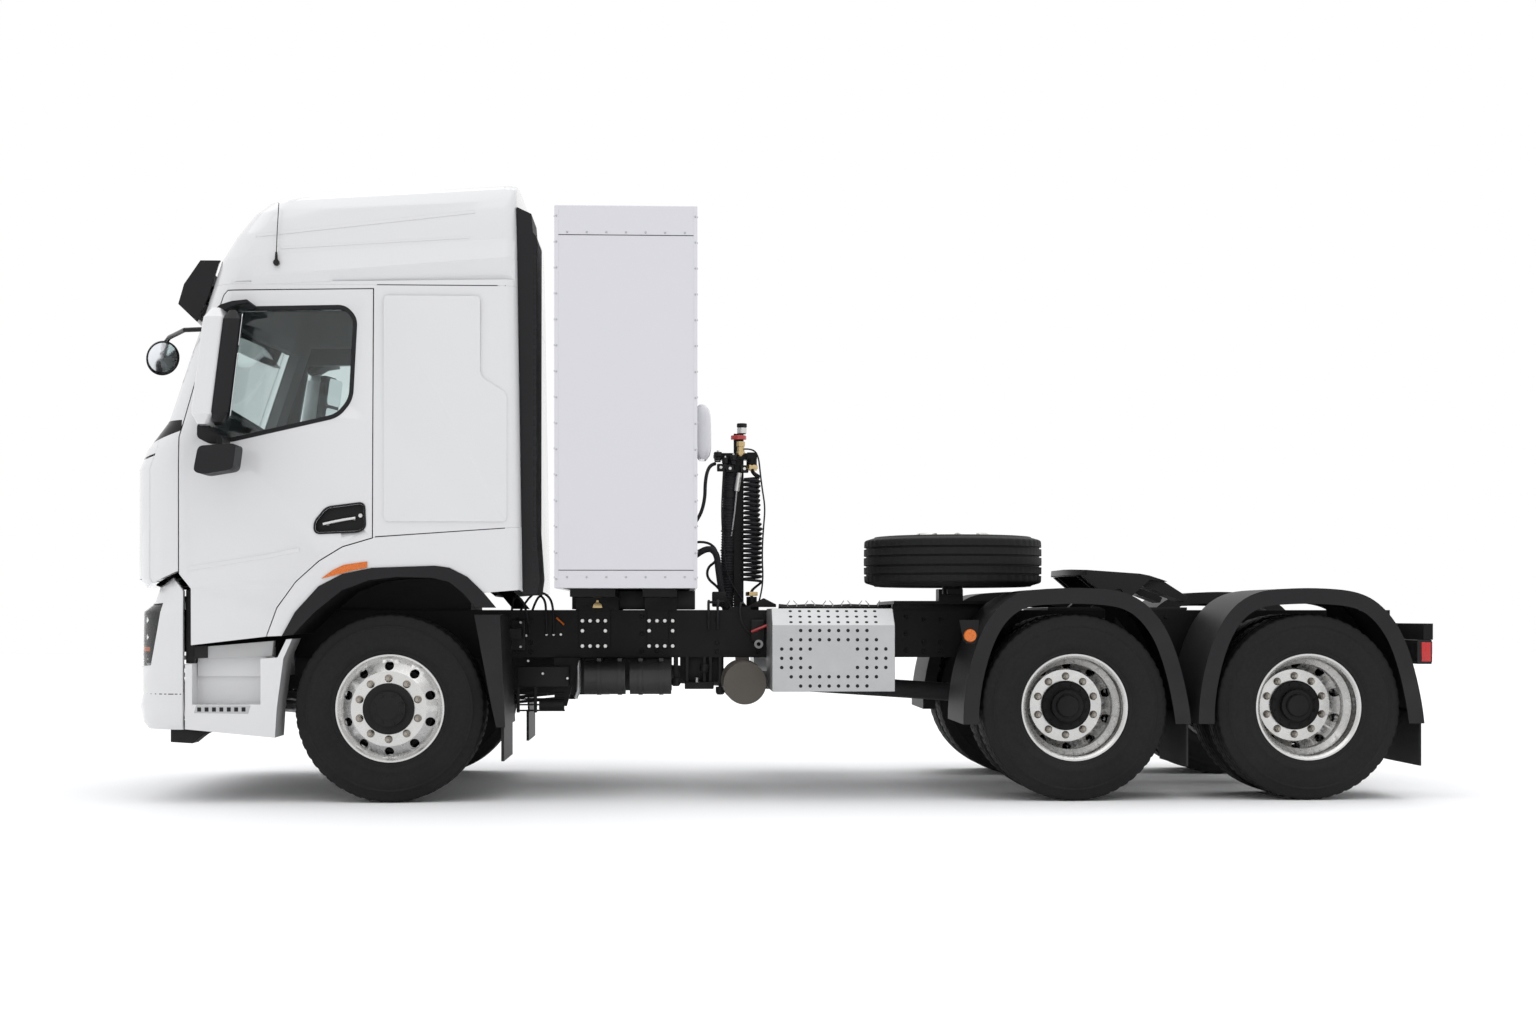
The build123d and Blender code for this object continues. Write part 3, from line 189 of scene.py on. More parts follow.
def math_node(tree, operation, a, b):
    """The result of a sum on sockets or numbers."""
    made = node(tree, "Math", operation=operation)
    for index, value in enumerate((a, b)):
        if isinstance(value, bpy.types.NodeSocket):
            tree.links.new(value, made.inputs[index])
        else:
            made.inputs[index].default_value = value
    return made.outputs[0]


def build_road_dust():
    """Dust that thickens towards the ground, broken up by noise."""
    tree, given, out = group_tree("Road dust", [("Amount", "Float", 0.5), ("Reach", "Float", 1.2)],
                                  [("Mask", "Float"), ("Speckle", "Float")])
    where = node(tree, "TexCoord").outputs["Object"]
    height = node(tree, "SeparateXYZ", {"Vector": where}).outputs["Z"]
    share = math_node(tree, "DIVIDE", height, given.outputs["Reach"])
    fall = ramp(tree, share, 1.0, 0.0)
    patch = ramp(tree, noise(tree, where, 2.3, 5.0), 0.35, 0.75)
    streak = math_node(tree, "MULTIPLY", fall, patch)
    mask = math_node(tree, "MULTIPLY", streak, given.outputs["Amount"])
    tree.links.new(mask, out.inputs["Mask"])
    tree.links.new(noise(tree, where, 60.0, 3.0), out.inputs["Speckle"])
    return tree


def build_moulded_grain():
    """The fine pebbled grain of moulded plastic, as a height."""
    tree, given, out = group_tree("Moulded grain", [("Scale", "Float", 700.0)],
                                  [("Height", "Float"), ("Shade", "Float")])
    where = node(tree, "TexCoord").outputs["Object"]
    cells = node(tree, "TexVoronoi", {"Vector": where, "Scale": given.outputs["Scale"]})
    tree.links.new(cells.outputs["Distance"], out.inputs["Height"])
    tree.links.new(noise(tree, where, 3.0, 3.0), out.inputs["Shade"])
    return tree


def build_brushed_metal():
    """Long fine scratches along one direction, for sheet and turned metal."""
    tree, given, out = group_tree("Brushed metal", [("Stretch", "Vector", (1.0, 30.0, 30.0)),
                                                    ("Scale", "Float", 20.0)],
                                  [("Height", "Float"), ("Cloud", "Float")])
    where = node(tree, "TexCoord").outputs["Object"]
    pulled = node(tree, "VectorMath", {0: where, 1: given.outputs["Stretch"]}, operation="MULTIPLY")
    lines = node(tree, "TexNoise", {"Vector": pulled.outputs[0], "Scale": given.outputs["Scale"]}, Detail=6.0)
    tree.links.new(lines.outputs["Fac"], out.inputs["Height"])
    tree.links.new(noise(tree, where, 7.0, 4.0), out.inputs["Cloud"])
    return tree


def build_cloth_weave():
    """Crossed threads, as a height."""
    tree, given, out = group_tree("Cloth weave", [("Threads", "Float", 260.0)], [("Height", "Float")])
    where = node(tree, "TexCoord").outputs["Object"]
    waves = []
    for direction in ("X", "Y", "Z"):
        made = node(tree, "TexWave", {"Vector": where, "Scale": given.outputs["Threads"]},
                    bands_direction=direction)
        waves.append(made.outputs["Fac"])
    both = math_node(tree, "MAXIMUM", waves[0], waves[1])
    tree.links.new(math_node(tree, "MAXIMUM", both, waves[2]), out.inputs["Height"])
    return tree


GROUP_BUILDERS = {
    "Road dust": build_road_dust,
    "Moulded grain": build_moulded_grain,
    "Brushed metal": build_brushed_metal,
    "Cloth weave": build_cloth_weave,
}


def use_group(tree, name, **values):
    """Places a shader group in a material with its own values."""
    made = tree.nodes.new("ShaderNodeGroup")
    made.node_tree = bpy.data.node_groups.get(name) or GROUP_BUILDERS[name]()
    for key, value in values.items():
        made.inputs[key].default_value = value
    return made


# ---- materials ----------------------------------------------------------------------------
def new_material(name, base, roughness, metallic=0.0, **sockets):
    """A material with its tree and its shader, whose sockets are set by name."""
    material = bpy.data.materials.new(name)
    material.use_nodes = True
    tree = material.node_tree
    shader = tree.nodes["Principled BSDF"]
    shader.inputs["Base Color"].default_value = (*base, 1.0)
    shader.inputs["Roughness"].default_value = roughness
    shader.inputs["Metallic"].default_value = metallic
    for key, value in sockets.items():
        shader.inputs[key.replace("_", " ")].default_value = value
    return material, tree, shader


def mix_colour(tree, mask, first, second):
    """Two colours mixed by a mask; each is a socket or a plain colour."""
    made = tree.nodes.new("ShaderNodeMix")
    made.data_type = "RGBA"
    tree.links.new(mask, made.inputs["Factor"])
    for label, value in (("A", first), ("B", second)):
        socket = [s for s in made.inputs if s.name == label and s.type == "RGBA"][0]
        if isinstance(value, bpy.types.NodeSocket):
            tree.links.new(value, socket)
        else:
            socket.default_value = (*value, 1.0)
    return [s for s in made.outputs if s.type == "RGBA"][0]


def add_bump(tree, shader, height, strength, distance):
    """Lets a height shape a shader's surface."""
    made = node(tree, "Bump", {"Height": height}, Strength=strength, Distance=distance)
    tree.links.new(made.outputs["Normal"], shader.inputs["Normal"])


DUST = (0.42, 0.38, 0.33)


def paint_material(name, base, roughness=0.30, coat=1.0, dust=0.12):
    """Sprayed paint under a clear coat: faint orange peel, and dust low down."""
    material, tree, shader = new_material(name, base, roughness, Coat_Weight=coat, Coat_Roughness=0.06)
    group = use_group(tree, "Road dust", Amount=dust, Reach=1.6)
    colour_out = mix_colour(tree, group.outputs["Mask"], base, DUST)
    tree.links.new(colour_out, shader.inputs["Base Color"])
    rough = math_node(tree, "MULTIPLY_ADD", group.outputs["Mask"], 0.9)
    rough.node.inputs[2].default_value = roughness
    tree.links.new(rough, shader.inputs["Roughness"])
    where = node(tree, "TexCoord").outputs["Object"]
    add_bump(tree, shader, noise(tree, where, 180.0, 2.0), 0.03, 0.0006)
    return material


def plastic_material(name, base, roughness=0.52, grain=520.0, strength=0.25, dust=0.05):
    """Moulded plastic with a fine grain and a little dust."""
    material, tree, shader = new_material(name, base, roughness, Specular_IOR_Level=0.22)
    group = use_group(tree, "Moulded grain", Scale=grain)
    dirt = use_group(tree, "Road dust", Amount=dust, Reach=1.3)
    paler = tuple(min(1.0, c * 1.35 + 0.001) for c in base)
    shade = mix_colour(tree, group.outputs["Shade"], base, paler)
    tree.links.new(mix_colour(tree, dirt.outputs["Mask"], shade, DUST), shader.inputs["Base Color"])
    add_bump(tree, shader, group.outputs["Height"], strength, 0.0006)
    return material


def rubber_material(name, base):
    """Dull rubber, worn paler in places."""
    material, tree, shader = new_material(name, base, 0.62, Specular_IOR_Level=0.18)
    dirt = use_group(tree, "Road dust", Amount=0.10, Reach=1.2)
    worn = tuple(c * 1.5 for c in base)
    tone = mix_colour(tree, ramp(tree, dirt.outputs["Speckle"], 0.3, 0.7), base, worn)
    tree.links.new(mix_colour(tree, dirt.outputs["Mask"], tone, (0.08, 0.075, 0.07)),
                   shader.inputs["Base Color"])
    where = node(tree, "TexCoord").outputs["Object"]
    add_bump(tree, shader, noise(tree, where, 260.0, 4.0), 0.25, 0.0008)
    return material


def metal_material(name, base, roughness, stretch=(1.0, 30.0, 30.0), scale=20.0, strength=0.08):
    """Bare metal with scratches along its grain and a cloudy polish."""
    material, tree, shader = new_material(name, base, roughness, metallic=1.0)
    group = use_group(tree, "Brushed metal", Stretch=stretch, Scale=scale)
    duller = tuple(c * 0.82 for c in base)
    tree.links.new(mix_colour(tree, group.outputs["Cloud"], base, duller), shader.inputs["Base Color"])
    rough = math_node(tree, "MULTIPLY_ADD", group.outputs["Height"], 0.22)
    rough.node.inputs[2].default_value = roughness - 0.08
    tree.links.new(rough, shader.inputs["Roughness"])
    add_bump(tree, shader, group.outputs["Height"], strength, 0.0006)
    return material


def casting_material(name, base, roughness=0.55, dust=0.10):
    """Rough painted metal."""
    material, tree, shader = new_material(name, base, roughness, Specular_IOR_Level=0.16)
    dirt = use_group(tree, "Road dust", Amount=dust, Reach=1.4)
    tree.links.new(mix_colour(tree, dirt.outputs["Mask"], base, (0.20, 0.18, 0.16)),
                   shader.inputs["Base Color"])
    add_bump(tree, shader, dirt.outputs["Speckle"], 0.35, 0.0015)
    return material


def glass_material(name, tint, roughness=0.0, weight=1.0):
    """Tinted glass with a faint wave."""
    material, tree, shader = new_material(name, tint, roughness, Transmission_Weight=weight, IOR=1.45)
    where = node(tree, "TexCoord").outputs["Object"]
    add_bump(tree, shader, noise(tree, where, 1.5, 1.0), 0.02, 0.002)
    return material


def lens_material(name, base):
    """A moulded lamp lens with rows of small prisms."""
    material, tree, shader = new_material(name, base, 0.18, Coat_Weight=0.3)
    where = node(tree, "TexCoord").outputs["Object"]
    prisms = node(tree, "TexVoronoi", {"Vector": where}, Scale=150.0)
    deeper = tuple(c * 0.55 for c in base)
    tree.links.new(mix_colour(tree, prisms.outputs["Distance"], base, deeper), shader.inputs["Base Color"])
    add_bump(tree, shader, prisms.outputs["Distance"], 0.5, 0.002)
    return material


def cloth_material(name, base):
    """Woven seat cloth."""
    material, tree, shader = new_material(name, base, 0.85, Sheen_Weight=0.3)
    group = use_group(tree, "Cloth weave", Threads=230.0)
    paler = tuple(c * 1.7 for c in base)
    tree.links.new(mix_colour(tree, group.outputs["Height"], base, paler), shader.inputs["Base Color"])
    add_bump(tree, shader, group.outputs["Height"], 0.5, 0.0012)
    return material


def make_materials():
    """Every finish, by name."""
    tint = bpy.context.scene.tractor_colours
    return {
        "cab_paint": paint_material("cab_paint", tuple(tint.cab)),
        "cabinet_paint": paint_material("cabinet_paint", tuple(tint.cabinet), 0.38, 0.6, 0.10),
        "frame_paint": casting_material("frame_paint", tuple(tint.frame), 0.42),
        "tank_paint": paint_material("tank_paint", (0.007, 0.007, 0.008), 0.5, 0.1, 0.04),
        "cast_iron": casting_material("cast_iron", (0.09, 0.08, 0.07), 0.5, 0.3),
        "black_plastic": plastic_material("black_plastic", tuple(tint.plastic)),
        "smooth_black": plastic_material("smooth_black", (0.009, 0.009, 0.010), 0.22, 900.0, 0.05, 0.02),
        "grey_plastic": plastic_material("grey_plastic", (0.11, 0.118, 0.12), 0.6, 400.0, 0.3, 0.0),
        "lining": plastic_material("lining", (0.34, 0.35, 0.35), 0.75, 300.0, 0.2, 0.0),
        "pale_plastic": plastic_material("pale_plastic", (0.36, 0.36, 0.36), 0.55, 400.0, 0.2, 0.1),
        "seal_rubber": rubber_material("seal_rubber", (0.012, 0.012, 0.013)),
        "tyre_rubber": rubber_material("tyre_rubber", tuple(tint.rubber)),
        "hose_rubber": rubber_material("hose_rubber", (0.016, 0.016, 0.018)),
        "polished_alloy": metal_material("polished_alloy", (0.64, 0.635, 0.625), 0.26, (1.0, 1.0, 1.0), 60.0,
                                         0.02),
        "sheet_aluminium": metal_material("sheet_aluminium", (0.50, 0.505, 0.51), 0.45),
        "bolt_steel": metal_material("bolt_steel", (0.72, 0.71, 0.69), 0.30, (1.0, 1.0, 1.0), 80.0),
        "nut_steel": metal_material("nut_steel", (0.36, 0.33, 0.29), 0.34, (1.0, 1.0, 1.0), 80.0),
        "brass": metal_material("brass", (0.62, 0.47, 0.24), 0.34, (1.0, 1.0, 1.0), 80.0),
        "reflector": metal_material("reflector", (0.9, 0.9, 0.9), 0.10, (1.0, 1.0, 1.0), 30.0, 0.01),
        "mirror_glass": metal_material("mirror_glass", (0.78, 0.80, 0.82), 0.09, (1.0, 1.0, 1.0), 5.0, 0.0),
        "casting": casting_material("casting", (0.007, 0.007, 0.008)),
        "engine_casting": casting_material("engine_casting", (0.035, 0.035, 0.038), 0.6, 0.2),
        "coupling_casting": casting_material("coupling_casting", (0.016, 0.016, 0.017), 0.34, 0.05),
        "cab_glass": glass_material("cab_glass", tuple(tint.glass)),
        "lamp_glass": glass_material("lamp_glass", (0.95, 0.97, 0.98)),
        "red_lens": lens_material("red_lens", (0.66, 0.008, 0.010)),
        "amber_lens": lens_material("amber_lens", (0.80, 0.17, 0.004)),
        "white_lens": lens_material("white_lens", (0.75, 0.75, 0.75)),
        "red_paint": paint_material("red_paint", (0.45, 0.02, 0.02), 0.3, 0.6, 0.1),
        "seat_cloth": cloth_material("seat_cloth", tuple(tint.upholstery)),
    }


MATERIALS = {}


def finish_of(name):
    """A finish, made with the others when the first one is asked for."""
    if not MATERIALS:
        MATERIALS.update(make_materials())
    return MATERIALS[name]


# ---- making meshes ------------------------------------------------------------------------
def new_object(name, data):
    """Makes an object at the origin and links it to the scene."""
    made = bpy.data.objects.new(name, data)
    bpy.context.scene.collection.objects.link(made)
    return made


def span(hand, near, far):
    """Two values of y on one side of the body, the lower first."""
    return sorted((hand * near, hand * far))


def circle(centre, radius, across, upward, count):
    """Points of a circle in the plane of two directions."""
    angles = (2 * math.pi * i / count for i in range(count))
    return [centre + radius * (math.cos(t) * across + math.sin(t) * upward) for t in angles]


def smooth_by_angle(mesh, degrees=32.0):
    """Smooth faces with sharp edges where the surface turns by more than the angle."""
    for polygon in mesh.polygons:
        polygon.use_smooth = True
    mesh.set_sharp_from_angle(angle=math.radians(degrees))


def add_piece(name, shape, body, finish, angle=32.0):
    """Makes an object of a shape or a mesh, gives it a finish and lets it ride on a body."""
    mesh = shape.mesh(name) if isinstance(shape, Shape) else shape
    piece = new_object(name, mesh)
    mesh.materials.clear()
    mesh.materials.append(finish_of(finish))
    smooth_by_angle(mesh, angle)
    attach(piece, body)
    return piece


def mesh_from(name, bm):
    """A mesh made of a bmesh, which is then freed."""
    mesh = bpy.data.meshes.new(name)
    bm.to_mesh(mesh)
    bm.free()
    return mesh


class Shape:
    """Collects simple solids, given in millimetres, into one mesh."""

    def __init__(self):
        self.bm = bmesh.new()

    def grid(self, rows, close_row=True, close_all=False, caps=True):
        """Skins rows of points. Each row is a ring; the rows run along the piece."""
        made = [[self.bm.verts.new(place(*point)) for point in row] for row in rows]
        count = len(made[0])
        steps = count if close_row else count - 1
        pairs = list(zip(made, made[1:])) + ([(made[-1], made[0])] if close_all else [])
        for first, second in pairs:
            for i in range(steps):
                j = (i + 1) % count
                self.bm.faces.new((first[i], first[j], second[j], second[i]))
        if caps and close_row and not close_all:
            self.bm.faces.new(list(reversed(made[0])))
            self.bm.faces.new(made[-1])
        return self

    def soften(self, faces, width):
        """Rounds the edges of some faces, taken in the same order on each run."""
        if width:
            edges = list(dict.fromkeys(edge for face in faces for edge in face.edges))
            bmesh.ops.bevel(self.bm, geom=edges, offset=width / 1000, segments=3, profile=0.5,
                            affect="EDGES", clamp_overlap=True)
        return self

    def box(self, x, y, z, bevel=0.0):
        """A block between two values of each of x, y and z."""
        points = [(a, b, c) for a in x for b in y for c in z]
        verts = [self.bm.verts.new(place(*point)) for point in points]
        faces = []
        for corners in ((0, 1, 3, 2), (4, 6, 7, 5), (0, 4, 5, 1), (2, 3, 7, 6), (0, 2, 6, 4), (1, 5, 7, 3)):
            faces.append(self.bm.faces.new([verts[i] for i in corners]))
        return self.soften(faces, bevel)

    def bar(self, start, end, radius, sides=16, end_radius=None):
        """A round bar between two points, tapering if an end radius is given."""
        a, b = Vector(start), Vector(end)
        along = (b - a).normalized()
        side = along.orthogonal().normalized()
        other = along.cross(side)
        far_radius = radius if end_radius is None else end_radius
        return self.grid([circle(a, radius, side, other, sides), circle(b, far_radius, side, other, sides)])

    def pipe(self, points, radius, sides=12):
        """A tube through points, with a ring at each point square to the route."""
        route = [Vector(p) for p in points]
        rows, side = [], None
        for i, point in enumerate(route):
            ahead = route[min(i + 1, len(route) - 1)] - route[max(i - 1, 0)]
            ahead.normalize()
            if side is None:
                side = ahead.orthogonal().normalized()
            side = (side - ahead * side.dot(ahead)).normalized()
            other = ahead.cross(side)
            rows.append(circle(point, radius, side, other, sides))
        return self.grid(rows)

    def lathe(self, profile, centre, axis="Y", outward=1, segments=96, ripple=None):
        """Turns (radius, reach) points about an axis through the centre."""
        rows = []
        for i in range(segments):
            t = 2 * math.pi * i / segments
            row = []
            for index, (radius, reach) in enumerate(profile):
                size = radius + (ripple(index, i) if ripple else 0.0)
                u, v, w = size * math.cos(t), size * math.sin(t), outward * reach
                offset = (u, w, v) if axis == "Y" else ((u, v, w) if axis == "Z" else (w, u, v))
                row.append([c + o for c, o in zip(centre, offset)])
            rows.append(row)
        return self.grid(rows, close_row=True, close_all=True, caps=False)

    def slab(self, outline, y, bevel=0.0):
        """A plate whose (x, z) outline is seen from the side, between two values of y."""
        rings = [[self.bm.verts.new(place(px, side, pz)) for px, pz in outline] for side in y]
        faces = [self.bm.faces.new(list(reversed(rings[0]))), self.bm.faces.new(rings[1])]
        count = len(outline)
        for i in range(count):
            j = (i + 1) % count
            faces.append(self.bm.faces.new((rings[0][i], rings[0][j], rings[1][j], rings[1][i])))
        return self.soften(faces, bevel)

    def mesh(self, name):
        """The shape as a mesh whose faces look outward; the shape is used up."""
        bmesh.ops.recalc_face_normals(self.bm, faces=self.bm.faces)
        return mesh_from(name, self.bm)


def dress(node_name, finish, bevel=0.0, angle=32.0):
    """Stands a smooth-shaded copy of a CAD node in its place, with its sharp edges rounded."""
    source = frame["nodes"][node_name]
    bm = bmesh.new()
    bm.from_mesh(source.data)
    bmesh.ops.remove_doubles(bm, verts=bm.verts, dist=0.00002)
    bmesh.ops.dissolve_limit(bm, angle_limit=math.radians(0.5), verts=bm.verts, edges=bm.edges)
    mesh = mesh_from(f"{node_name}_skin", bm)
    piece = new_object(f"{node_name}_skin", mesh)
    mesh.materials.clear()
    mesh.materials.append(finish_of(finish))
    smooth_by_angle(mesh, angle)
    if bevel:
        rounding = piece.modifiers.new("Rounded edges", "BEVEL")
        rounding.width = bevel
        rounding.segments = 2
        rounding.limit_method = "ANGLE"
        rounding.angle_limit = math.radians(angle)
        rounding.harden_normals = True
    apply_modifiers(piece)
    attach(piece, source["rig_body"])
    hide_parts(node_name)
    return piece


def apply_modifiers(piece):
    """Turns the evaluated object into a plain mesh and removes its modifiers."""
    bpy.context.view_layer.update()
    graph = bpy.context.evaluated_depsgraph_get()
    mesh = bpy.data.meshes.new_from_object(piece.evaluated_get(graph))
    piece.modifiers.clear()
    piece.data = mesh
    return piece


def repaint(node_name, finish):
    """Gives a CAD node that stays in view a better finish."""
    holder = frame["nodes"][node_name]
    holder.data.materials.clear()
    holder.data.materials.append(finish_of(finish))


# ---- Geometry Nodes: heads on points ------------------------------------------------------
def head_tree():
    """Instances a round or many-sided head on each point, turned along its direction."""
    name = "Fastener heads"
    if name in bpy.data.node_groups:
        return bpy.data.node_groups[name]
    tree = bpy.data.node_groups.new(name, "GeometryNodeTree")
    face = tree.interface
    face.new_socket(name="Geometry", in_out="INPUT", socket_type="NodeSocketGeometry")
    for label, default in (("Radius", 0.012), ("Height", 0.008)):
        face.new_socket(name=label, in_out="INPUT", socket_type="NodeSocketFloat").default_value = default
    face.new_socket(name="Sides", in_out="INPUT", socket_type="NodeSocketInt").default_value = 6
    face.new_socket(name="Finish", in_out="INPUT", socket_type="NodeSocketMaterial")
    face.new_socket(name="Geometry", in_out="OUTPUT", socket_type="NodeSocketGeometry")
    given = tree.nodes.new("NodeGroupInput")
    out = tree.nodes.new("NodeGroupOutput")
    head = tree.nodes.new("GeometryNodeMeshCone")
    top = tree.nodes.new("ShaderNodeMath")
    top.operation = "MULTIPLY"
    top.inputs[1].default_value = 0.78
    toward = tree.nodes.new("GeometryNodeInputNamedAttribute")
    toward.data_type = "FLOAT_VECTOR"
    toward.inputs["Name"].default_value = "toward"
    align = tree.nodes.new("FunctionNodeAlignRotationToVector")
    align.axis = "Z"
    spread = tree.nodes.new("GeometryNodeInstanceOnPoints")
    real = tree.nodes.new("GeometryNodeRealizeInstances")
    coat = tree.nodes.new("GeometryNodeSetMaterial")
    link = tree.links.new
    link(given.outputs["Radius"], top.inputs[0])
    link(given.outputs["Sides"], head.inputs["Vertices"])
    link(given.outputs["Radius"], head.inputs["Radius Bottom"])
    link(top.outputs[0], head.inputs["Radius Top"])
    link(given.outputs["Height"], head.inputs["Depth"])
    link(given.outputs["Geometry"], spread.inputs["Points"])
    link(head.outputs["Mesh"], spread.inputs["Instance"])
    link([s for s in toward.outputs if s.type == "VECTOR"][0], align.inputs["Vector"])
    link(align.outputs["Rotation"], spread.inputs["Rotation"])
    link(spread.outputs["Instances"], real.inputs["Geometry"])
    link(real.outputs["Geometry"], coat.inputs["Geometry"])
    link(given.outputs["Finish"], coat.inputs["Material"])
    link(coat.outputs["Geometry"], out.inputs["Geometry"])
    return tree


def add_heads(name, spots, body, finish, radius, height, sides=6, angle=32.0):
    """Fastener heads at (point, direction) pairs, in millimetres, as one mesh."""
    mesh = bpy.data.meshes.new(name)
    mesh.from_pydata([place(*point) for point, _ in spots], [], [])
    toward = mesh.attributes.new("toward", "FLOAT_VECTOR", "POINT")
    for item, (_, direction) in zip(toward.data, spots):
        item.vector = direction
    piece = new_object(name, mesh)
    modifier = piece.modifiers.new("Heads", "NODES")
    modifier.node_group = head_tree()
    values = {"Radius": radius / 1000, "Height": height / 1000, "Sides": sides, "Finish": finish_of(finish)}
    for item in modifier.node_group.interface.items_tree:
        if item.item_type == "SOCKET" and item.in_out == "INPUT" and item.name in values:
            modifier[item.identifier] = values[item.name]
    apply_modifiers(piece)
    smooth_by_angle(piece.data, angle)
    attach(piece, body)
    return piece


def row_of(start, end, count):
    """Evenly spaced points from start to end."""
    a, b = Vector(start), Vector(end)
    return [tuple(a.lerp(b, i / (count - 1))) for i in range(count)]


def ring_of(centre, radius, count, axis="Y", phase=0.5):
    """Evenly spaced points on a circle about an axis."""
    spots = []
    for i in range(count):
        t = 2 * math.pi * (i + phase) / count
        u, v = radius * math.cos(t), radius * math.sin(t)
        offset = (u, 0, v) if axis == "Y" else (u, v, 0)
        spots.append(tuple(c + o for c, o in zip(centre, offset)))
    return spots


# ---- outlines on the cab's side -----------------------------------------------------------
def rounded(points, radius, steps=5, closed=True):
    """Rounds each corner of a flat outline."""
    made, count = [], len(points)
    for i, corner in enumerate(points):
        here = Vector(corner)
        if not closed and i in (0, count - 1):
            made.append(tuple(here))
            continue
        before, after = Vector(points[i - 1]), Vector(points[(i + 1) % count])
        reach = min(radius, 0.45 * (before - here).length, 0.45 * (after - here).length)
        start = here + (before - here).normalized() * reach
        end = here + (after - here).normalized() * reach
        for step in range(steps + 1):
            t = step / steps
            made.append(tuple((1 - t) ** 2 * start + 2 * t * (1 - t) * here + t ** 2 * end))
    return made


def offset_outline(points, distance):
    """Moves a closed outline outwards by a distance along its corners' normals."""
    count, made = len(points), []
    area = sum(points[i - 1][0] * points[i][1] - points[i][0] * points[i - 1][1] for i in range(count))
    sense = 1 if area > 0 else -1
    for i in range(count):
        a, b, c = (Vector(points[(i + k) % count]) for k in (-1, 0, 1))
        first, second = (b - a), (c - b)
        if first.length < 1e-6 or second.length < 1e-6:
            first = second = c - a
        normal = Vector((first.y, -first.x)).normalized() + Vector((second.y, -second.x)).normalized()
        normal.normalize()
        made.append(tuple(b + sense * distance * normal))
    return made


class Surface:
    """Finds where a line square to the side, front or top meets some CAD nodes."""

    def __init__(self, *nodes):
        bm = bmesh.new()
        for name in nodes:
            bm.from_mesh(frame["nodes"][name].data)
        self.tree = BVHTree.FromBMesh(bm)
        bm.free()

    def side(self, x, z, hand, lift=0.0):
        for nudge in (0, 4, -4, 12, -12):
            hit = self.tree.ray_cast(place(x, hand * 3000, z + nudge), Vector((0, -hand, 0)))[0]
            if hit is not None and hit.y * hand > 0.5:
                return (x, hit.y * 1000 + hand * lift, z)
        raise ValueError(f"nothing to lie on at {x:.0f}, {z:.0f}")

    def front(self, y, z, lift=0.0):
        hit = self.tree.ray_cast(place(-3000, y, z), Vector((1, 0, 0)))[0]
        if hit is None:
            raise ValueError(f"nothing in front at {y:.0f}, {z:.0f}")
        return ((hit.x - AXLE_X) * 1000 - lift, y, z)

    def top(self, x, y, lift=0.0):
        hit = self.tree.ray_cast(place(x, y, 5000), Vector((0, 0, -1)))[0]
        if hit is None:
            raise ValueError(f"nothing below at {x:.0f}, {y:.0f}")
        return (x, y, hit.z * 1000 + lift)


def ribbon(shape, points, width, hand, surface, lift=0.4, depth=3.0, closed=False):
    """A thin strip that follows (x, z) points over the side of the body."""
    count = len(points)
    rows = []
    for i, point in enumerate(points):
        a = Vector(points[i - 1] if (closed or i) else point)
        b = Vector(points[(i + 1) % count] if (closed or i < count - 1) else point)
        across = Vector((-(b - a).y, (b - a).x)).normalized() * width / 2
        low, high = Vector(point) - across, Vector(point) + across
        ring = []
        for spot, raised in ((low, -depth), (low, lift), (high, lift), (high, -depth)):
            ring.append(surface.side(spot.x, spot.y, hand, raised))
        rows.append(ring)
    return shape.grid(rows, close_all=closed, caps=not closed)


def along(points, step):
    """Divides a flat line so that it can follow a curved surface."""
    made = [points[0]]
    for a, b in zip(points, points[1:]):
        count = max(1, round((Vector(b) - Vector(a)).length / step))
        made += [tuple(Vector(a).lerp(Vector(b), (i + 1) / count)) for i in range(count)]
    return made


# ---- the cab's body -----------------------------------------------------------------------
WINDOW_OUTLINE = [(-985, 2075), (-880, 2700), (-240, 2715), (-190, 2660), (-212, 2225), (-280, 2140),
                  (-880, 2000)]
HANDLE_OUTLINE = [(-392, 1490), (-392, 1545), (-330, 1622), (-132, 1648), (-128, 1520), (-160, 1500)]


def carve(piece, cutter, finish):
    """Cuts a shape's hollow out of a piece; the cut faces take the second finish."""
    tool = new_object("cutter", cutter.mesh("cutter"))
    tool.data.materials.append(finish_of(finish))
    piece.data.materials.append(finish_of(finish))
    for polygon in tool.data.polygons:
        polygon.material_index = 0
    cut = piece.modifiers.new("Hollow", "BOOLEAN")
    cut.object = tool
    cut.solver = "EXACT"
    cut.material_mode = "TRANSFER"
    apply_modifiers(piece)
    smooth_by_angle(piece.data)
    bpy.data.objects.remove(tool)


def second_finish(piece, finish, chosen, planes=()):
    """Cuts a piece's mesh along planes and gives the chosen faces another finish."""
    bm = bmesh.new()
    bm.from_mesh(piece.data)
    for point, normal in planes:
        geom = list(bm.verts) + list(bm.edges) + list(bm.faces)
        bmesh.ops.bisect_plane(bm, geom=geom, plane_co=point, plane_no=normal, dist=0.00002)
    piece.data.materials.append(finish_of(finish))
    index = len(piece.data.materials) - 1
    for face in bm.faces:
        if chosen(face):
            face.material_index = index
    bm.to_mesh(piece.data)
    bm.free()


SCREEN_LINE = ((-1440, 1946), (-1150, 2038))
SCREEN_FOOT_Z = 2106
CAB_MIDDLE = (-150, 0, 2100)


def inside_face(face):
    """Whether a face of the cab looks towards the driver's space."""
    away = place(*CAB_MIDDLE) - face.calc_center_median()
    return face.normal.dot(away.normalized()) > 0.2


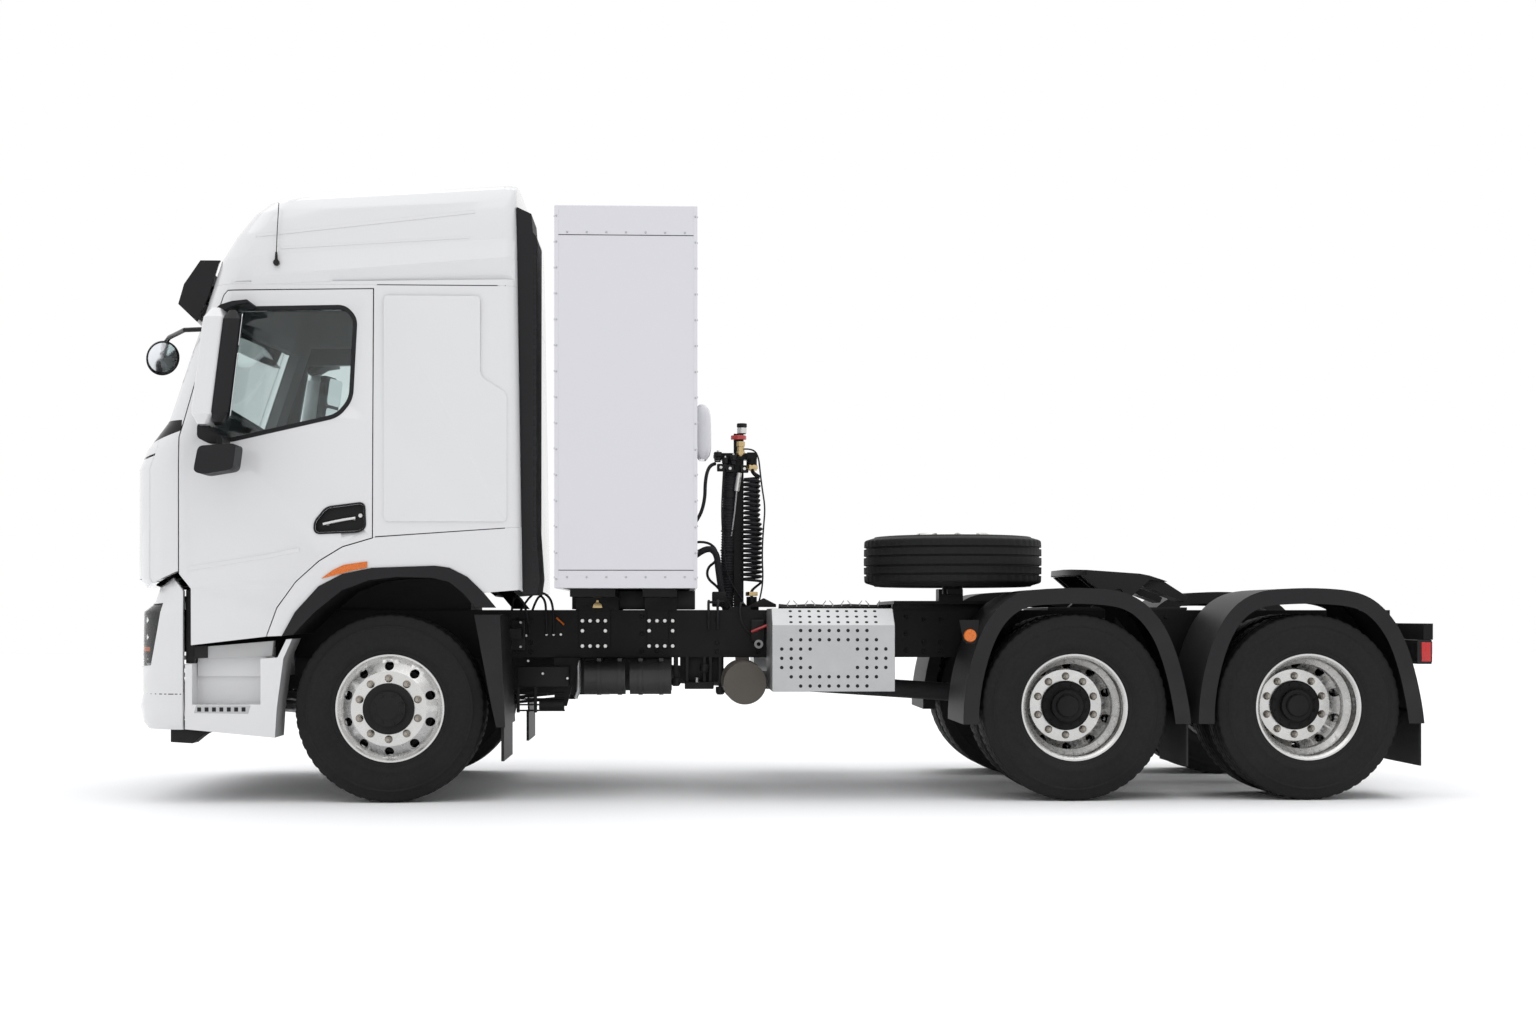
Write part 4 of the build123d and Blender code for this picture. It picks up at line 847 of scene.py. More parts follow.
def cut_slots(panel, face, heights, reach, tall, deep):
    """Cuts a row of dark slots that follow the panel's curve."""
    slots = Shape()
    for z in heights:
        rows = []
        for i in range(25):
            y = reach * (2 * i / 24 - 1)
            rows.append([face.front(y, level, lift) for level, lift in
                         ((z, 8), (z + tall, 8), (z + tall, -deep), (z, -deep))])
        slots.grid(rows)
    carve(panel, slots, "black_plastic")


class TRACTOR_OT_body(bpy.types.Operator):
    """Dress the painted panels of the cab"""
    bl_idname = "tractor.body"
    bl_label = "Cab body"

    def execute(self, context):
        edge = context.scene.tractor_sizes.panel_round
        (x0, z0), (x1, z1) = SCREEN_LINE
        start = place(x0, 0, z0)
        up = Vector((z0 - z1, 0, x1 - x0)).normalized()
        top, back = place(0, 0, SCREEN_FOOT_Z), place(x1 + 30, 0, 0)
        planes = ((start, up), (top, Vector((0, 0, 1))), (back, Vector((1, 0, 0))))

        def above_line(face):
            middle = face.calc_center_median()
            return (middle - start).dot(up) > 0 and middle.z < top.z and middle.x < back.x

        for name in ("cab_shell", "cab_roof", "cab_wings", "front_lid", "cowl"):
            panel = dress(name, "cab_paint", edge * 0.6)
            second_finish(panel, "lining", inside_face)
            if name in ("cab_shell", "cowl"):
                second_finish(panel, "smooth_black", above_line, planes)
            if name == "front_lid":
                cut_slots(panel, Surface(name), range(1310, 1720, 58), 820, 34, 10)
        for hand, side in SIDES:
            door = dress(f"door_{side}", "cab_paint", edge * 0.6)
            second_finish(door, "grey_plastic", inside_face)
            hollow = Shape()
            hollow.slab(rounded(HANDLE_OUTLINE, 26), span(hand, HALF_WIDTH - 38, HALF_WIDTH + 20))
            carve(door, hollow, "black_plastic")
        cut_slots(dress("bumper", "cab_paint", edge * 0.6), Surface("bumper"), (470, 520), 640, 30, 10)
        dress("step_panels", "cab_paint", edge * 0.6)
        dress("cab_floor", "black_plastic")
        return {"FINISHED"}


SLEEPER_PANEL = [(-22, 1552), (650, 1552), (650, 2258), (504, 2350), (504, 2790), (-22, 2790)]


class TRACTOR_OT_seams(bpy.types.Operator):
    """Draw the panel joints, creases, seals and window surrounds"""
    bl_idname = "tractor.seams"
    bl_label = "Joints and seals"

    def execute(self, context):
        skin = Surface("cab_shell", "cab_roof", "cab_wings")
        door = Surface("door_left", "door_right")
        lid = Surface("front_lid", "cab_shell", "cowl")
        joints, creases = Shape(), Shape()
        for hand, side in SIDES:
            ribbon(joints, along([(-60, 2850), (700, 2850)], 60), 5, hand, skin)
            ribbon(joints, along([(-70, 1467), (640, 1516)], 60), 5, hand, skin)
            ribbon(creases, along([(-720, 3118), (470, 3262)], 40), 16, hand, skin, lift=3.0)
            ribbon(creases, along([(-585, 3050), (443, 3118)], 40), 10, hand, skin, lift=2.5)
            bulge, rows = Shape(), []
            for i in range(61):
                share = i / 60
                x = -742 + 1432 * share
                high, low = 2891 + 118 * share, 2846 + 62 * min(1.0, share * 1.15)
                swell = min(1.0, share * 3.5)
                rows.append([skin.side(x, z, hand, lift * swell + sunk) for z, lift, sunk in
                             ((high + 110, 0, 0.3), (high + 60, 8, 0.3), (high + 12, 19, 0.3),
                              (high, 21, 0.3), (high - 8, 18, 0.3), (low, 1, 0.3), (low, 0, -6),
                              (high + 110, 0, -6))])
            bulge.grid(rows)
            add_piece(f"roof_bulge_{side}", bulge, "cab", "cab_paint", angle=25.0)
            panel = Shape()
            panel.slab(rounded(SLEEPER_PANEL, 26), span(hand, HALF_WIDTH - 6, HALF_WIDTH + 3.2), 3.0)
            add_piece(f"sleeper_panel_{side}", panel, "cab", "cab_paint")
            fold = Shape()
            ribbon(fold, along([(-1085, 1290), (-640, 1362), (-480, 1396)], 30), 22, hand, door, lift=3.0)
            add_piece(f"door_fold_{side}", fold, f"door_{side}", "cab_paint")
            seal = Shape()
            inner = rounded(WINDOW_OUTLINE, 45, 6)
            rows = []
            for (x, z), (u, w), (far_x, far_z) in zip(inner, offset_outline(inner, 24),
                                                      offset_outline(inner, 34)):
                face = door.side(far_x, far_z, hand)[1]
                rows.append([(x, face - hand * 26, z), (x, face + hand * 1.2, z),
                             (x + (u - x) * 0.2, face + hand * 3, z + (w - z) * 0.2),
                             (x + (u - x) * 0.8, face + hand * 3, z + (w - z) * 0.8),
                             (u, face + hand * 0.4, w), (u, face - hand * 8, w)])
            seal.grid(rows, close_all=True)
            add_piece(f"window_seal_{side}", seal, f"door_{side}", "seal_rubber")
        add_piece("panel_joints", joints, "cab", "seal_rubber")
        add_piece("roof_creases", creases, "cab", "cab_paint")
        trim = Shape()
        trim.grid([[lid.front(50 * i - 1100, z, lift) for z, lift in
                    ((1232, -3), (1232, 1.2), (1238, 1.2), (1238, -3))] for i in range(45)])
        add_piece("lid_crease", trim, "front_lid", "seal_rubber")
        return {"FINISHED"}


# ---- fittings on the cab ------------------------------------------------------------------
def ring_at(centre, half_x, half_y, power=4.0, count=32, tilt=0.0):
    """A rounded rectangle in plan, as a ring of points."""
    x, y, z = centre
    ring = []
    for i in range(count):
        t = 2 * math.pi * i / count
        u = math.copysign(abs(math.cos(t)) ** (2 / power), math.cos(t))
        v = math.copysign(abs(math.sin(t)) ** (2 / power), math.sin(t))
        ring.append((x + half_x * u, y + half_y * v, z + tilt * half_x * u))
    return ring


def rounded_block(shape, low, high, shrink=0.0, power=5.0, steps=5, edge=0.12):
    """A soft-cornered tall block whose plan sections run from a low to a high (x, y, z, hx, hy)."""
    rows = []
    for i in range(2 * steps + 3):
        t = i / (2 * steps + 2)
        near = min(t, 1 - t) / edge
        fade = 1.0 if near >= 1 else math.sqrt(max(0.0, 1 - (1 - near) ** 2)) * 0.6 + 0.4
        x, y, z, hx, hy = (a + (b - a) * t for a, b in zip(low, high))
        rows.append(ring_at((x, y, z), (hx - shrink) * fade, (hy - shrink) * (0.5 + 0.5 * fade), power))
    return shape.grid(rows)


class TRACTOR_OT_trims(bpy.types.Operator):
    """Dress the plastic trims, handles, aerial, visor and side lamps"""
    bl_idname = "tractor.trims"
    bl_label = "Trims and handles"

    def execute(self, context):
        for name in ("arch_trims", "front_flaps", "air_intake"):
            dress(name, "black_plastic", 0.003)
        dress("sun_visor", "smooth_black", 0.002)
        skin = Surface("cab_shell", "cab_roof", "cab_wings", "door_left", "door_right")
        for hand, side in SIDES:
            outer = hand * HALF_WIDTH
            handle = Shape()
            bar = [(-352, 1536), (-300, 1548), (-240, 1560), (-176, 1570)]
            handle.pipe([(x, outer - hand * 8, z) for x, z in bar], 9)
            handle.box((-340, -322), span(hand, HALF_WIDTH - 34, HALF_WIDTH - 10), (1530, 1548), 2)
            handle.box((-196, -178), span(hand, HALF_WIDTH - 34, HALF_WIDTH - 10), (1558, 1576), 2)
            handle.lathe([(0, 0), (11, 0), (11, 7), (0, 8)], (-152, outer - hand * 30, 1584), outward=hand,
                         segments=20)
            add_piece(f"door_handle_{side}", handle, f"door_{side}", "polished_alloy")
            rim = Shape()
            loop = rounded(HANDLE_OUTLINE, 26)
            rows = []
            for (x, z), (u, w) in zip(offset_outline(loop, 1), offset_outline(loop, 11)):
                rows.append([(x, outer - hand * 20, z), (x, outer + hand * 2.0, z),
                             (u, outer + hand * 2.0, w), (u, outer - hand * 2.0, w)])
            rim.grid(rows, close_all=True)
            add_piece(f"handle_rim_{side}", rim, f"door_{side}", "black_plastic")

            lamp = Shape()
            outline = rounded([(-362, 1236), (-300, 1283), (-238, 1313), (-110, 1332), (-112, 1296),
                               (-190, 1282),
                               (-262, 1262)], 8)
            lamp.slab(outline, span(hand, HALF_WIDTH - 14, HALF_WIDTH + 5), 2.5)
            add_piece(f"side_lamp_{side}", lamp, "cab", "amber_lens")
            if hand < 0:
                self.add_aerial(Vector(skin.side(-605, 2965, hand)))
        lamps = Shape()
        for y in (-900, -300, 300, 900):
            x = -520 if abs(y) > 600 else -560
            spot = skin.top(x, y)
            lamps.box((x - 34, x + 26), (y - 30, y + 30), (spot[2] - 8, spot[2] + 12), 6)
        add_piece("roof_lamps", lamps, "cab", "smooth_black")
        ribs = Shape()
        left_y = node_box("air_intake")[0].y
        for i in range(34):
            z = 1190 + i * 56
            ribs.box((788, 804), (left_y - 0.5, left_y + 3), (z, z + 34))
        add_piece("intake_ribs", ribs, "cab", "smooth_black")
        return {"FINISHED"}

    def add_aerial(self, root):
        """A short whip aerial on the left side of the roof."""
        aerial = Shape()
        aerial.bar(root + Vector((0, 8, 0)), root + Vector((0, -22, 2)), 17, 20)
        aerial.bar(root + Vector((0, -18, -16)), root + Vector((0, -18, 58)), 11, 16, 6)
        aerial.pipe([root + Vector((0, -18, 50)), root + Vector((4, -12, 180)), root + Vector((10, 2, 330))],
                    2.4, 8)
        add_piece("aerial", aerial, "cab", "smooth_black")


MIRROR_Y = 1465


def turned(shape):
    """Turns the outer side of a mirror's face towards the rear."""
    for vert in shape.bm.verts:
        vert.co.x += 0.22 * (abs(vert.co.y) - MIRROR_Y / 1000)
    return shape


class TRACTOR_OT_mirrors(bpy.types.Operator):
    """Build the door mirrors and the front mirror"""
    bl_idname = "tractor.mirrors"
    bl_label = "Mirrors"

    def execute(self, context):
        for hand, side in SIDES:
            body = f"door_{side}"
            y = hand * MIRROR_Y
            back = Shape()
            rounded_block(back, (-938, y, 2052, 62, 134), (-862, y, 2670, 60, 134))
            shell = add_piece(f"mirror_shell_{side}", back, body, "cab_paint")
            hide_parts(f"mirror_{side}")

            rim = Shape()
            rounded_block(rim, (-868, y, 2064, 58, 128), (-792, y, 2658, 54, 128))
            add_piece(f"mirror_rim_{side}", turned(rim), body, "black_plastic")
            glass = Shape()
            for low, high in ((2086, 2440), (2462, 2640)):
                rows = []
                for reach in (0, 3):
                    ring = []
                    for py, pz in rounded([(-112, low), (112, low), (112, high), (-112, high)], 30):
                        lean = (pz - 2052) / 618 * 74
                        ring.append((-811 + lean + reach - 1.5, y + py, pz))
                    rows.append(ring)
                glass.grid(rows)
            add_piece(f"mirror_glass_{side}", turned(glass), body, "mirror_glass")
            arm = Shape()
            top = [(-900, 2652), (-868, 2700), (-800, 2722), (-715, 2732), (-710, 2712), (-790, 2700),
                   (-850, 2664)]
            arm.slab(rounded(top, 12, 3), span(hand, 1236, 1455), 5)
            low_arm = [(-985, 2062), (-925, 2062), (-905, 2020), (-858, 2008), (-852, 1962), (-925, 1958),
                       (-985, 1990)]
            arm.slab(rounded(low_arm, 16, 3), span(hand, 1237, 1455), 6)
            arm.bar((-868, hand * 1446, 1990), (-868, hand * 1446, 1895), 17)
            add_piece(f"mirror_arm_{side}", arm, body, "black_plastic")
            wide = Shape()
            outline = rounded([(-952, 1936), (-752, 1950), (-770, 1812), (-930, 1784), (-978, 1800)], 26)
            wide.slab(outline, span(hand, 1392, 1568), 16)
            add_piece(f"kerb_mirror_{side}", wide, body, "black_plastic")
        centre = Vector((-1322, -840, 2492))
        toward = Vector((0.36, -0.80, -0.48)).normalized()
        upward = (Vector((0, 0, 1)) - toward * toward.z).normalized()
        across = toward.cross(upward) * 0.88

        def disc(profile):
            return [circle(centre + toward * reach, radius, across, upward, 48) for radius, reach in profile]

        bowl, face, arm = Shape(), Shape(), Shape()
        bowl.grid(disc([(4, -62), (50, -56), (86, -34), (102, -6), (104, 6), (95, 8), (93, 0)]))
        shell = add_piece("front_mirror_shell", bowl, "cab", "smooth_black")
        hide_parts("front_mirror")
        face.grid(disc([(92, 1), (70, 8), (40, 13), (2, 15)]))
        add_piece("front_mirror_glass", face, "cab", "mirror_glass")
        arm.pipe([(-1325, -818, 2530), (-1318, -826, 2570), (-1262, -930, 2596), (-1120, -1165, 2605),
                  (-940, -1185, 2610)], 13, 14)
        arm.bar((-1328, -822, 2500), (-1324, -812, 2545), 22)
        add_piece("front_mirror_arm", arm, "cab", "smooth_black")
        return {"FINISHED"}


# ---- bumper, lamps and steps --------------------------------------------------------------
class TRACTOR_OT_front(bpy.types.Operator):
    """Fit out the headlamps, wipers, steps and bumper joints, with painted shade in the gap behind the bumper
    and in the step well
    """
    bl_idname = "tractor.front"
    bl_label = "Front end"

    def execute(self, context):
        skin = Surface("bumper")
        liners_and_gap_shade, step_well_shade, metal, seams = Shape(), Shape(), Shape(), Shape()
        for hand, side in SIDES:
            # Painted shade: this black slab fills the gap behind the bumper, and the black block and the grey
            # strip after it stand in for the shaded recess at the top of the step well.
            liners_and_gap_shade.slab([(-1110, 772), (-1064, 772), (-1064, 905), (-1072, 1176), (-1110, 1176)],
                        span(hand, 1000, 1180), 4)
            liners_and_gap_shade.slab([(-1061, 800), (-990, 803), (-990, 872), (-1061, 866)],
                        span(hand, 1122, 1200), 3)
            step_well_shade.slab([(-989, 796), (-640, 812), (-632, 896), (-989, 866)], span(hand, 1122, 1188), 2)
            metal.slab([(-1052, 502), (-758, 498), (-744, 545), (-1040, 547)], span(hand, 1150, 1242), 4)
            for step in range(7):
                x = -1034 + 40 * step
                liners_and_gap_shade.box((x, x + 22), span(hand, 1236, 1243.5), (510, 534), 2)
            for step in range(9):
                x = -1040 + 32 * step
                metal.box((x, x + 20), span(hand, 1156, 1234), (544, 550), 1.5)
            liners_and_gap_shade.slab([(-1263, 440), (-1263, 323), (-1140, 315), (-1079, 368), (-1020, 385), (-1000, 440)],
                        span(hand, 760, 900), 3)
            ribbon(seams, along([(-1330, 606), (-1120, 606)], 30), 5, hand, skin)
            self.add_lamp(hand, side)
        # The liners include the painted shade of the bumper gap; the strips are painted shade in the step
        # well.
        add_piece("bumper_liners_and_gap_shade", liners_and_gap_shade, "chassis", "black_plastic")
        add_piece("step_well_shade_strips", step_well_shade, "chassis", "pale_plastic")
        add_piece("step_treads", metal, "chassis", "sheet_aluminium")
        add_piece("bumper_joints", seams, "chassis", "seal_rubber")
        blades = Shape()
        glass = Surface("windscreen", "cowl", "cab_shell")
        for y in (-520, 180):
            foot = Vector(glass.front(y, 2096, 6))
            tip = Vector(glass.front(y + 250, 2190, 12))
            blades.pipe([foot, foot.lerp(tip, 0.5) + Vector((-8, 0, 4)), tip], 8, 10)
            blades.pipe([Vector(glass.front(y - 60 + 62 * i, 2150 + 13 * i, 7)) for i in range(11)], 5, 8)
            blades.lathe([(0, 12), (16, 10), (19, 0), (0, 0)], foot, "X", -1, 20)
        add_piece("wipers", blades, "cab", "smooth_black")
        return {"FINISHED"}

    def add_lamp(self, hand, side):
        """A dark housing inside a clear cover, with two reflectors, a lower lens and a fog lamp."""
        middle = Vector((-1300, hand * 990, 930))
        lamp = Surface("headlamps")
        cover = bmesh.new()
        cover.from_mesh(frame["nodes"]["headlamps"].data)
        bmesh.ops.remove_doubles(cover, verts=cover.verts, dist=0.00002)
        far = [v for v in cover.verts if v.co.y * hand < 0]
        bmesh.ops.delete(cover, geom=far, context="VERTS")
        bmesh.ops.recalc_face_normals(cover, faces=cover.faces)
        housing = cover.copy()
        for vert in housing.verts:
            vert.co += (place(*middle) - vert.co) * 0.08
        clear = add_piece(f"lamp_cover_{side}", mesh_from("lamp_cover", cover), "chassis", "lamp_glass")
        if hand > 0:
            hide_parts("headlamps")
        add_piece(f"lamp_housing_{side}", mesh_from("lamp_housing", housing), "chassis", "smooth_black")
        bright, lower, fog = Shape(), Shape(), Shape()
        toward = Vector((-0.70, hand * 0.71, 0.0)).normalized()
        across, upward = Vector((-toward.y, toward.x, 0)), Vector((0, 0, 1))
        for shape, u, z, radius in ((bright, 0, 1010, 44), (bright, 0, 915, 42), (fog, 0, 795, 34)):
            aim = Vector((-1310, hand * 1120, z)) + across * u
            hit = lamp.tree.ray_cast(place(*(aim + toward * 600)), -toward)[0]
            centre = Vector(((hit.x - AXLE_X) * 1000, hit.y * 1000, hit.z * 1000)) - toward * 16
            profile = ((radius, -14), (radius, 2), (radius * 0.93, 6), (radius * 0.84, 0), (radius * 0.5, 5),
                       (2, 7))
            shape.grid([circle(centre + toward * reach, size, across, upward, 32) for size, reach in profile])
        strip = []
        for i in range(9):
            x = -1396 + 11 * i
            strip.append([lamp.side(x, z, hand, lift) for z, lift in
                          ((838, -24), (838, -12), (862, -12), (862, -24))])
        lower.grid(strip)
        for name, shape, finish in (("bowls", bright, "reflector"), ("fog", fog, "white_lens"),
                                    ("turn", lower, "amber_lens")):
            add_piece(f"lamp_{name}_{side}", shape, "chassis", finish)


# ---- hoses --------------------------------------------------------------------------------
COIL_X, COIL_Y, COIL_Z = 2040, 70, (1150, 1950)
COIL_RADIUS, COIL_WIDE, COIL_TURNS, POINTS_PER_TURN = 46, 59, 22, 14
CONDUIT_RIBS = 52


def add_hose(name, points, diameter, finish):
    """A hose in millimetres as one smooth spline that rides on the chassis."""
    route = [place(*point) for point in points]
    data = bpy.data.curves.new(name, "CURVE")
    data.dimensions = "3D"
    data.bevel_depth = diameter / 2000
    data.bevel_resolution = 3
    data.resolution_u = 4
    data.use_fill_caps = True
    spline = data.splines.new("NURBS")
    spline.points.add(len(route) - 1)
    for spot, where in zip(spline.points, route):
        spot.co = (*where, 1.0)
    spline.order_u = 3
    spline.use_endpoint_u = True
    data.materials.append(finish_of(finish))
    piece = new_object(name, data)
    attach(piece, "chassis")
    return piece


# Each hose: name, diameter, and the points of its route.
HOSES = (
    ("hose_cabinet", 22, [(1815, -38, 1964), (1790, -60, 1958), (1765, -80, 1915), (1753, -92, 1840),
                          (1752, -96, 1750), (1728, -100, 1650), (1692, -104, 1600)]),
    ("hose_loop", 10, [(1990, -26, 2056), (2042, -66, 2056), (2078, -110, 2010), (2088, -132, 1900),
                       (2100, -140, 1800), (2118, -142, 1690), (2106, -142, 1560),
                       (2098, -140, 1400), (2106, -132, 1250), (2088, -116, 1140),
                       (2070, -100, 1080)]),
    ("hose_tangle", 16, [(1692, -66, 1482), (1760, -76, 1490), (1826, -92, 1440), (1824, -96, 1366),
                         (1768, -92, 1330), (1764, -88, 1262), (1830, -80, 1210), (1876, -62, 1150),
                         (1912, -56, 1078)]),
    ("hose_bundle", 40, [(1694, -130, 1400), (1760, -140, 1450), (1822, -150, 1420),
                         (1832, -150, 1320), (1846, -140, 1220), (1862, -120, 1130),
                         (1880, -100, 1060)]),
    ("hose_rail_1", 16, [(1870, -60, 1080), (1820, -160, 1120), (1776, -300, 1112),
                         (1769, -430, 1128), (1769, -458, 1060), (1769, -446, 953)]),
    ("hose_rail_2", 16, [(1900, -60, 1080), (1862, -160, 1124), (1830, -300, 1116),
                         (1823, -430, 1130), (1823, -458, 1060), (1823, -446, 953)]),
    ("hose_rail_3", 12, [(2010, -80, 1080), (1985, -200, 1112), (1965, -320, 1108),
                         (1960, -436, 1112), (1950, -462, 1040), (1985, -458, 940),
                         (2060, -446, 905)]),
    ("hose_cab_1", 14, [(600, -330, 1060), (612, -390, 1150), (664, -446, 1140), (700, -460, 1060),
                        (716, -444, 930)]),
    ("hose_cab_2", 14, [(650, -330, 1060), (720, -390, 1180), (820, -440, 1165), (860, -462, 1080),
                        (855, -444, 925)]),
    ("hose_cab_3", 14, [(720, -330, 1060), (760, -390, 1165), (806, -450, 1130), (813, -462, 1050),
                        (813, -444, 925)]),
    ("hose_thin", 10, [(1868, -44, 1944), (1862, -62, 1850), (1852, -70, 1650), (1868, -74, 1440),
                       (1884, -76, 1300), (1930, -74, 1200), (1990, -60, 1120), (1996, -50, 1080)]),
    ("hose_white", 9, [(1950, -28, 1906), (1954, -52, 1870), (1946, -56, 1790), (1938, -54, 1700),
                       (1926, -44, 1600), (1914, -36, 1520)]),
)


def coil_route(hand):
    """The route of a curly hose from its upper coupling to its lower one."""
    y, top, foot = hand * COIL_Y, COIL_Z[1], COIL_Z[0]
    points = [(COIL_X, y, top), (COIL_X, y, top - 22), (COIL_X + 14, y - 24, top - 46),
              (COIL_X + 40, y - 28, top - 62)]
    for i in range(COIL_TURNS * POINTS_PER_TURN + 1):
        share = i / (COIL_TURNS * POINTS_PER_TURN)
        turn = 2 * math.pi * i / POINTS_PER_TURN
        grown = min(1.0, max(0.0, (share - 0.38) / 0.12))
        wide = COIL_RADIUS + (COIL_WIDE - COIL_RADIUS) * grown + 1.5 * math.sin(31 * share + hand)
        points.append((COIL_X + wide * math.cos(turn), y + wide * math.sin(turn), top - 66 - 640 * share))
    return points + [(COIL_X + 54, y + 26, foot + 82), (COIL_X + 26, y + 34, foot + 62),
                     (COIL_X, y + 14, foot + 38), (COIL_X, y, foot + 18), (COIL_X, y, foot)]


class TRACTOR_OT_stand(bpy.types.Operator):
    """Hang the air hoses on their stand, with its couplings and valves"""
    bl_idname = "tractor.stand"
    bl_label = "Hose stand"

    def execute(self, context):
        diameter = context.scene.tractor_sizes.hose_diameter * 1000
        for hand, side in SIDES:
            coil = add_hose(f"curly_hose_{side}", coil_route(hand), diameter, "hose_rubber")
            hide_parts(f"coiled_hose_{side}")
        dress("hose_stand", "frame_paint", 0.002)
        for name, size, points in HOSES:
            add_hose(name, points, size, "pale_plastic" if name == "hose_white" else "hose_rubber")
        self.add_couplings()
        return {"FINISHED"}

    def add_couplings(self):
        """The corrugated conduit, the couplings at its head, and the valves and clamps around it."""
        conduit, black, brass, red, steel = Shape(), Shape(), Shape(), Shape(), Shape()
        rows = []
        for i in range(CONDUIT_RIBS * 4 + 1):
            share = i / (CONDUIT_RIBS * 4)
            wide = 41 + (4.5 if i % 4 in (1, 2) else 0)
            rows.append(ring_at((1886 + 24 * share, 0, 1092 + 840 * share), wide, wide, 2.0, 28))
        conduit.grid(rows)
        add_piece("conduit", conduit, "chassis", "hose_rubber", angle=50.0)
        black.lathe([(0, 0), (30, 0), (31, -6), (31, -22), (0, -22)], (1980, 0, 2214), "Z", segments=24)
        steel.lathe([(0, 0), (28, 0), (29, -3), (29, -34), (22, -38), (0, -38)], (1980, 0, 2188), "Z",
                    segments=24)
        red.lathe([(30, 0), (46, 0), (48, -4), (48, -22), (46, -26), (30, -26)], (1960, 0, 2140), "Z",
                  segments=32)
        for z, radius, height in ((2100, 25, 30), (2068, 21, 26), (2040, 25, 22)):
            brass.lathe([(0, 0), (radius, 0), (radius + 1, -3), (radius + 1, -height), (0, -height)],
                        (1972, -44, z), "Z", segments=6)
        brass.bar((1972, -44, 2100), (1972, -44, 2010), 17)
        for hand, _ in SIDES:
            for z in (COIL_Z[1] + 4, COIL_Z[0] + 30):
                brass.lathe([(0, 0), (33, 0), (35, -4), (35, -24), (0, -24)], (COIL_X, hand * COIL_Y, z),
                            "Z", segments=6)
        for x, y, z, radius, tall in ((1832, -62, 2034, 26, 52), (1876, -62, 2000, 20, 66),
                                      (1926, -62, 2016, 24, 58),
                                      (1832, 62, 2030, 26, 48), (1926, 62, 2016, 24, 52)):
            black.lathe([(0, 0), (radius - 4, 0), (radius, -6), (radius, -tall * 0.5),
                         (radius - 7, -tall * 0.6),
                         (radius - 7, -tall), (0, -tall)], (x, y, z), "Z", segments=20)
            black.bar((x, y, z - tall * 0.7), (x, 0, z - tall * 0.7), 11)
            steel.bar((x, y * 1.02, z), (x, y * 1.02, z + 10), 8)
        for x, z in ((1850, 1936), (1906, 1930), (1994, 1928)):
            black.box((x - 24, x + 24), (-74, -40), (z - 20, z + 26), 5)
            steel.bar((x, -80, z + 4), (x, -70, z + 4), 9)
        steel.bar((1962, -42, 1908), (1946, -46, 1796), 17)
        for z, tall in ((1796, 40), (1700, 14), (1560, 10), (1440, 10), (1300, 10)):
            share = (z - 1092) / 840
            black.lathe([(40, 0), (49, -2), (49, -tall), (40, -tall - 2)], (1886 + 24 * share, 0, z), "Z",
                        segments=32)
        black.slab([(2010, 1090), (2108, 1141), (2183, 1103), (2183, 1086), (2010, 1086)], (-170, -95), 4)
        black.box((1795, 1880), (-160, -70), (1088, 1180), 8)
        for name, shape, finish in (("stand_valves", black, "black_plastic"), ("stand_brass", brass, "brass"),
                                    ("stand_red_ring", red, "red_paint"),
                                    ("stand_steel", steel, "bolt_steel")):
            add_piece(name, shape, "chassis", finish)


# ---- wheels -------------------------------------------------------------------------------
def islands(bm):
    """Lists the separate groups of joined faces."""
    bm.faces.ensure_lookup_table()
    seen, groups = set(), []
    for start in bm.faces:
        if start.index in seen:
            continue
        group, stack = [], [start]
        seen.add(start.index)
        while stack:
            face = stack.pop()
            group.append(face)
            for edge in face.edges:
                for other in edge.link_faces:
                    if other.index not in seen:
                        seen.add(other.index)
                        stack.append(other)
        groups.append(group)
    return groups


HUB_REACH = 0.22  # metres: a solid of a wheel that lies within this radius is its hub


def dress_wheel(node_name, centre_x, centre_z):
    """A wheel's rim in polished alloy with its hub in black, split by their sizes."""
    skin = dress(node_name, "polished_alloy", 0.0012, 24.0)
    skin.data.materials.append(finish_of("casting"))
    bm = bmesh.new()
    bm.from_mesh(skin.data)
    centre = place(centre_x, 0, centre_z)
    for group in islands(bm):
        reach = max(math.hypot(v.co.x - centre.x, v.co.z - centre.z) for face in group for v in face.verts)
        if reach < HUB_REACH:
            for face in group:
                face.material_index = 1
    bm.to_mesh(skin.data)
    bm.free()
    return skin


TYRE_OUTER = [(302, 118), (302, 130), (312, 135), (322, 136), (326, 140), (345, 143), (352, 146), (356, 146),
              (360, 144.5), (395, 148.5), (430, 147.5), (448, 143), (452, 145), (458, 145), (463, 140),
              (486, 133), (504, 128), (512, 124), (517, 120), (519, 112), (520, 90), (520, 84), (508, 82),
              (508, 74), (521, 72), (521.5, 36), (521.5, 34), (508, 32), (508, 24), (521.5, 22), (522, 0)]
TYRE_CAVITY = [(450, 0), (430, 110), (360, 122), (304, 92), (300, 112)]


def tyre_shape(shape, centre, outward, axis="Y"):
    """One tyre with its grooves and blocks, hollow inside."""
    outer = TYRE_OUTER + [(radius, -reach) for radius, reach in reversed(TYRE_OUTER[:-1])]
    inner = TYRE_CAVITY + [(radius, -reach) for radius, reach in reversed(TYRE_CAVITY[1:])]
    profile = outer + inner[len(TYRE_CAVITY):] + inner[:len(TYRE_CAVITY)]
    size = len(TYRE_OUTER)

    def ripple(index, segment):
        spot = index if index < size else 2 * size - 2 - index
        if 16 <= spot <= 20 and segment % 4 == 0 and index < 2 * size - 1:
            return -5.0
        if spot in (24, 25, 29) and segment % 3 == 0 and index < 2 * size - 1:
            return -2.5
        return 0.0

    return shape.lathe(profile, centre, axis, outward, 216, ripple)


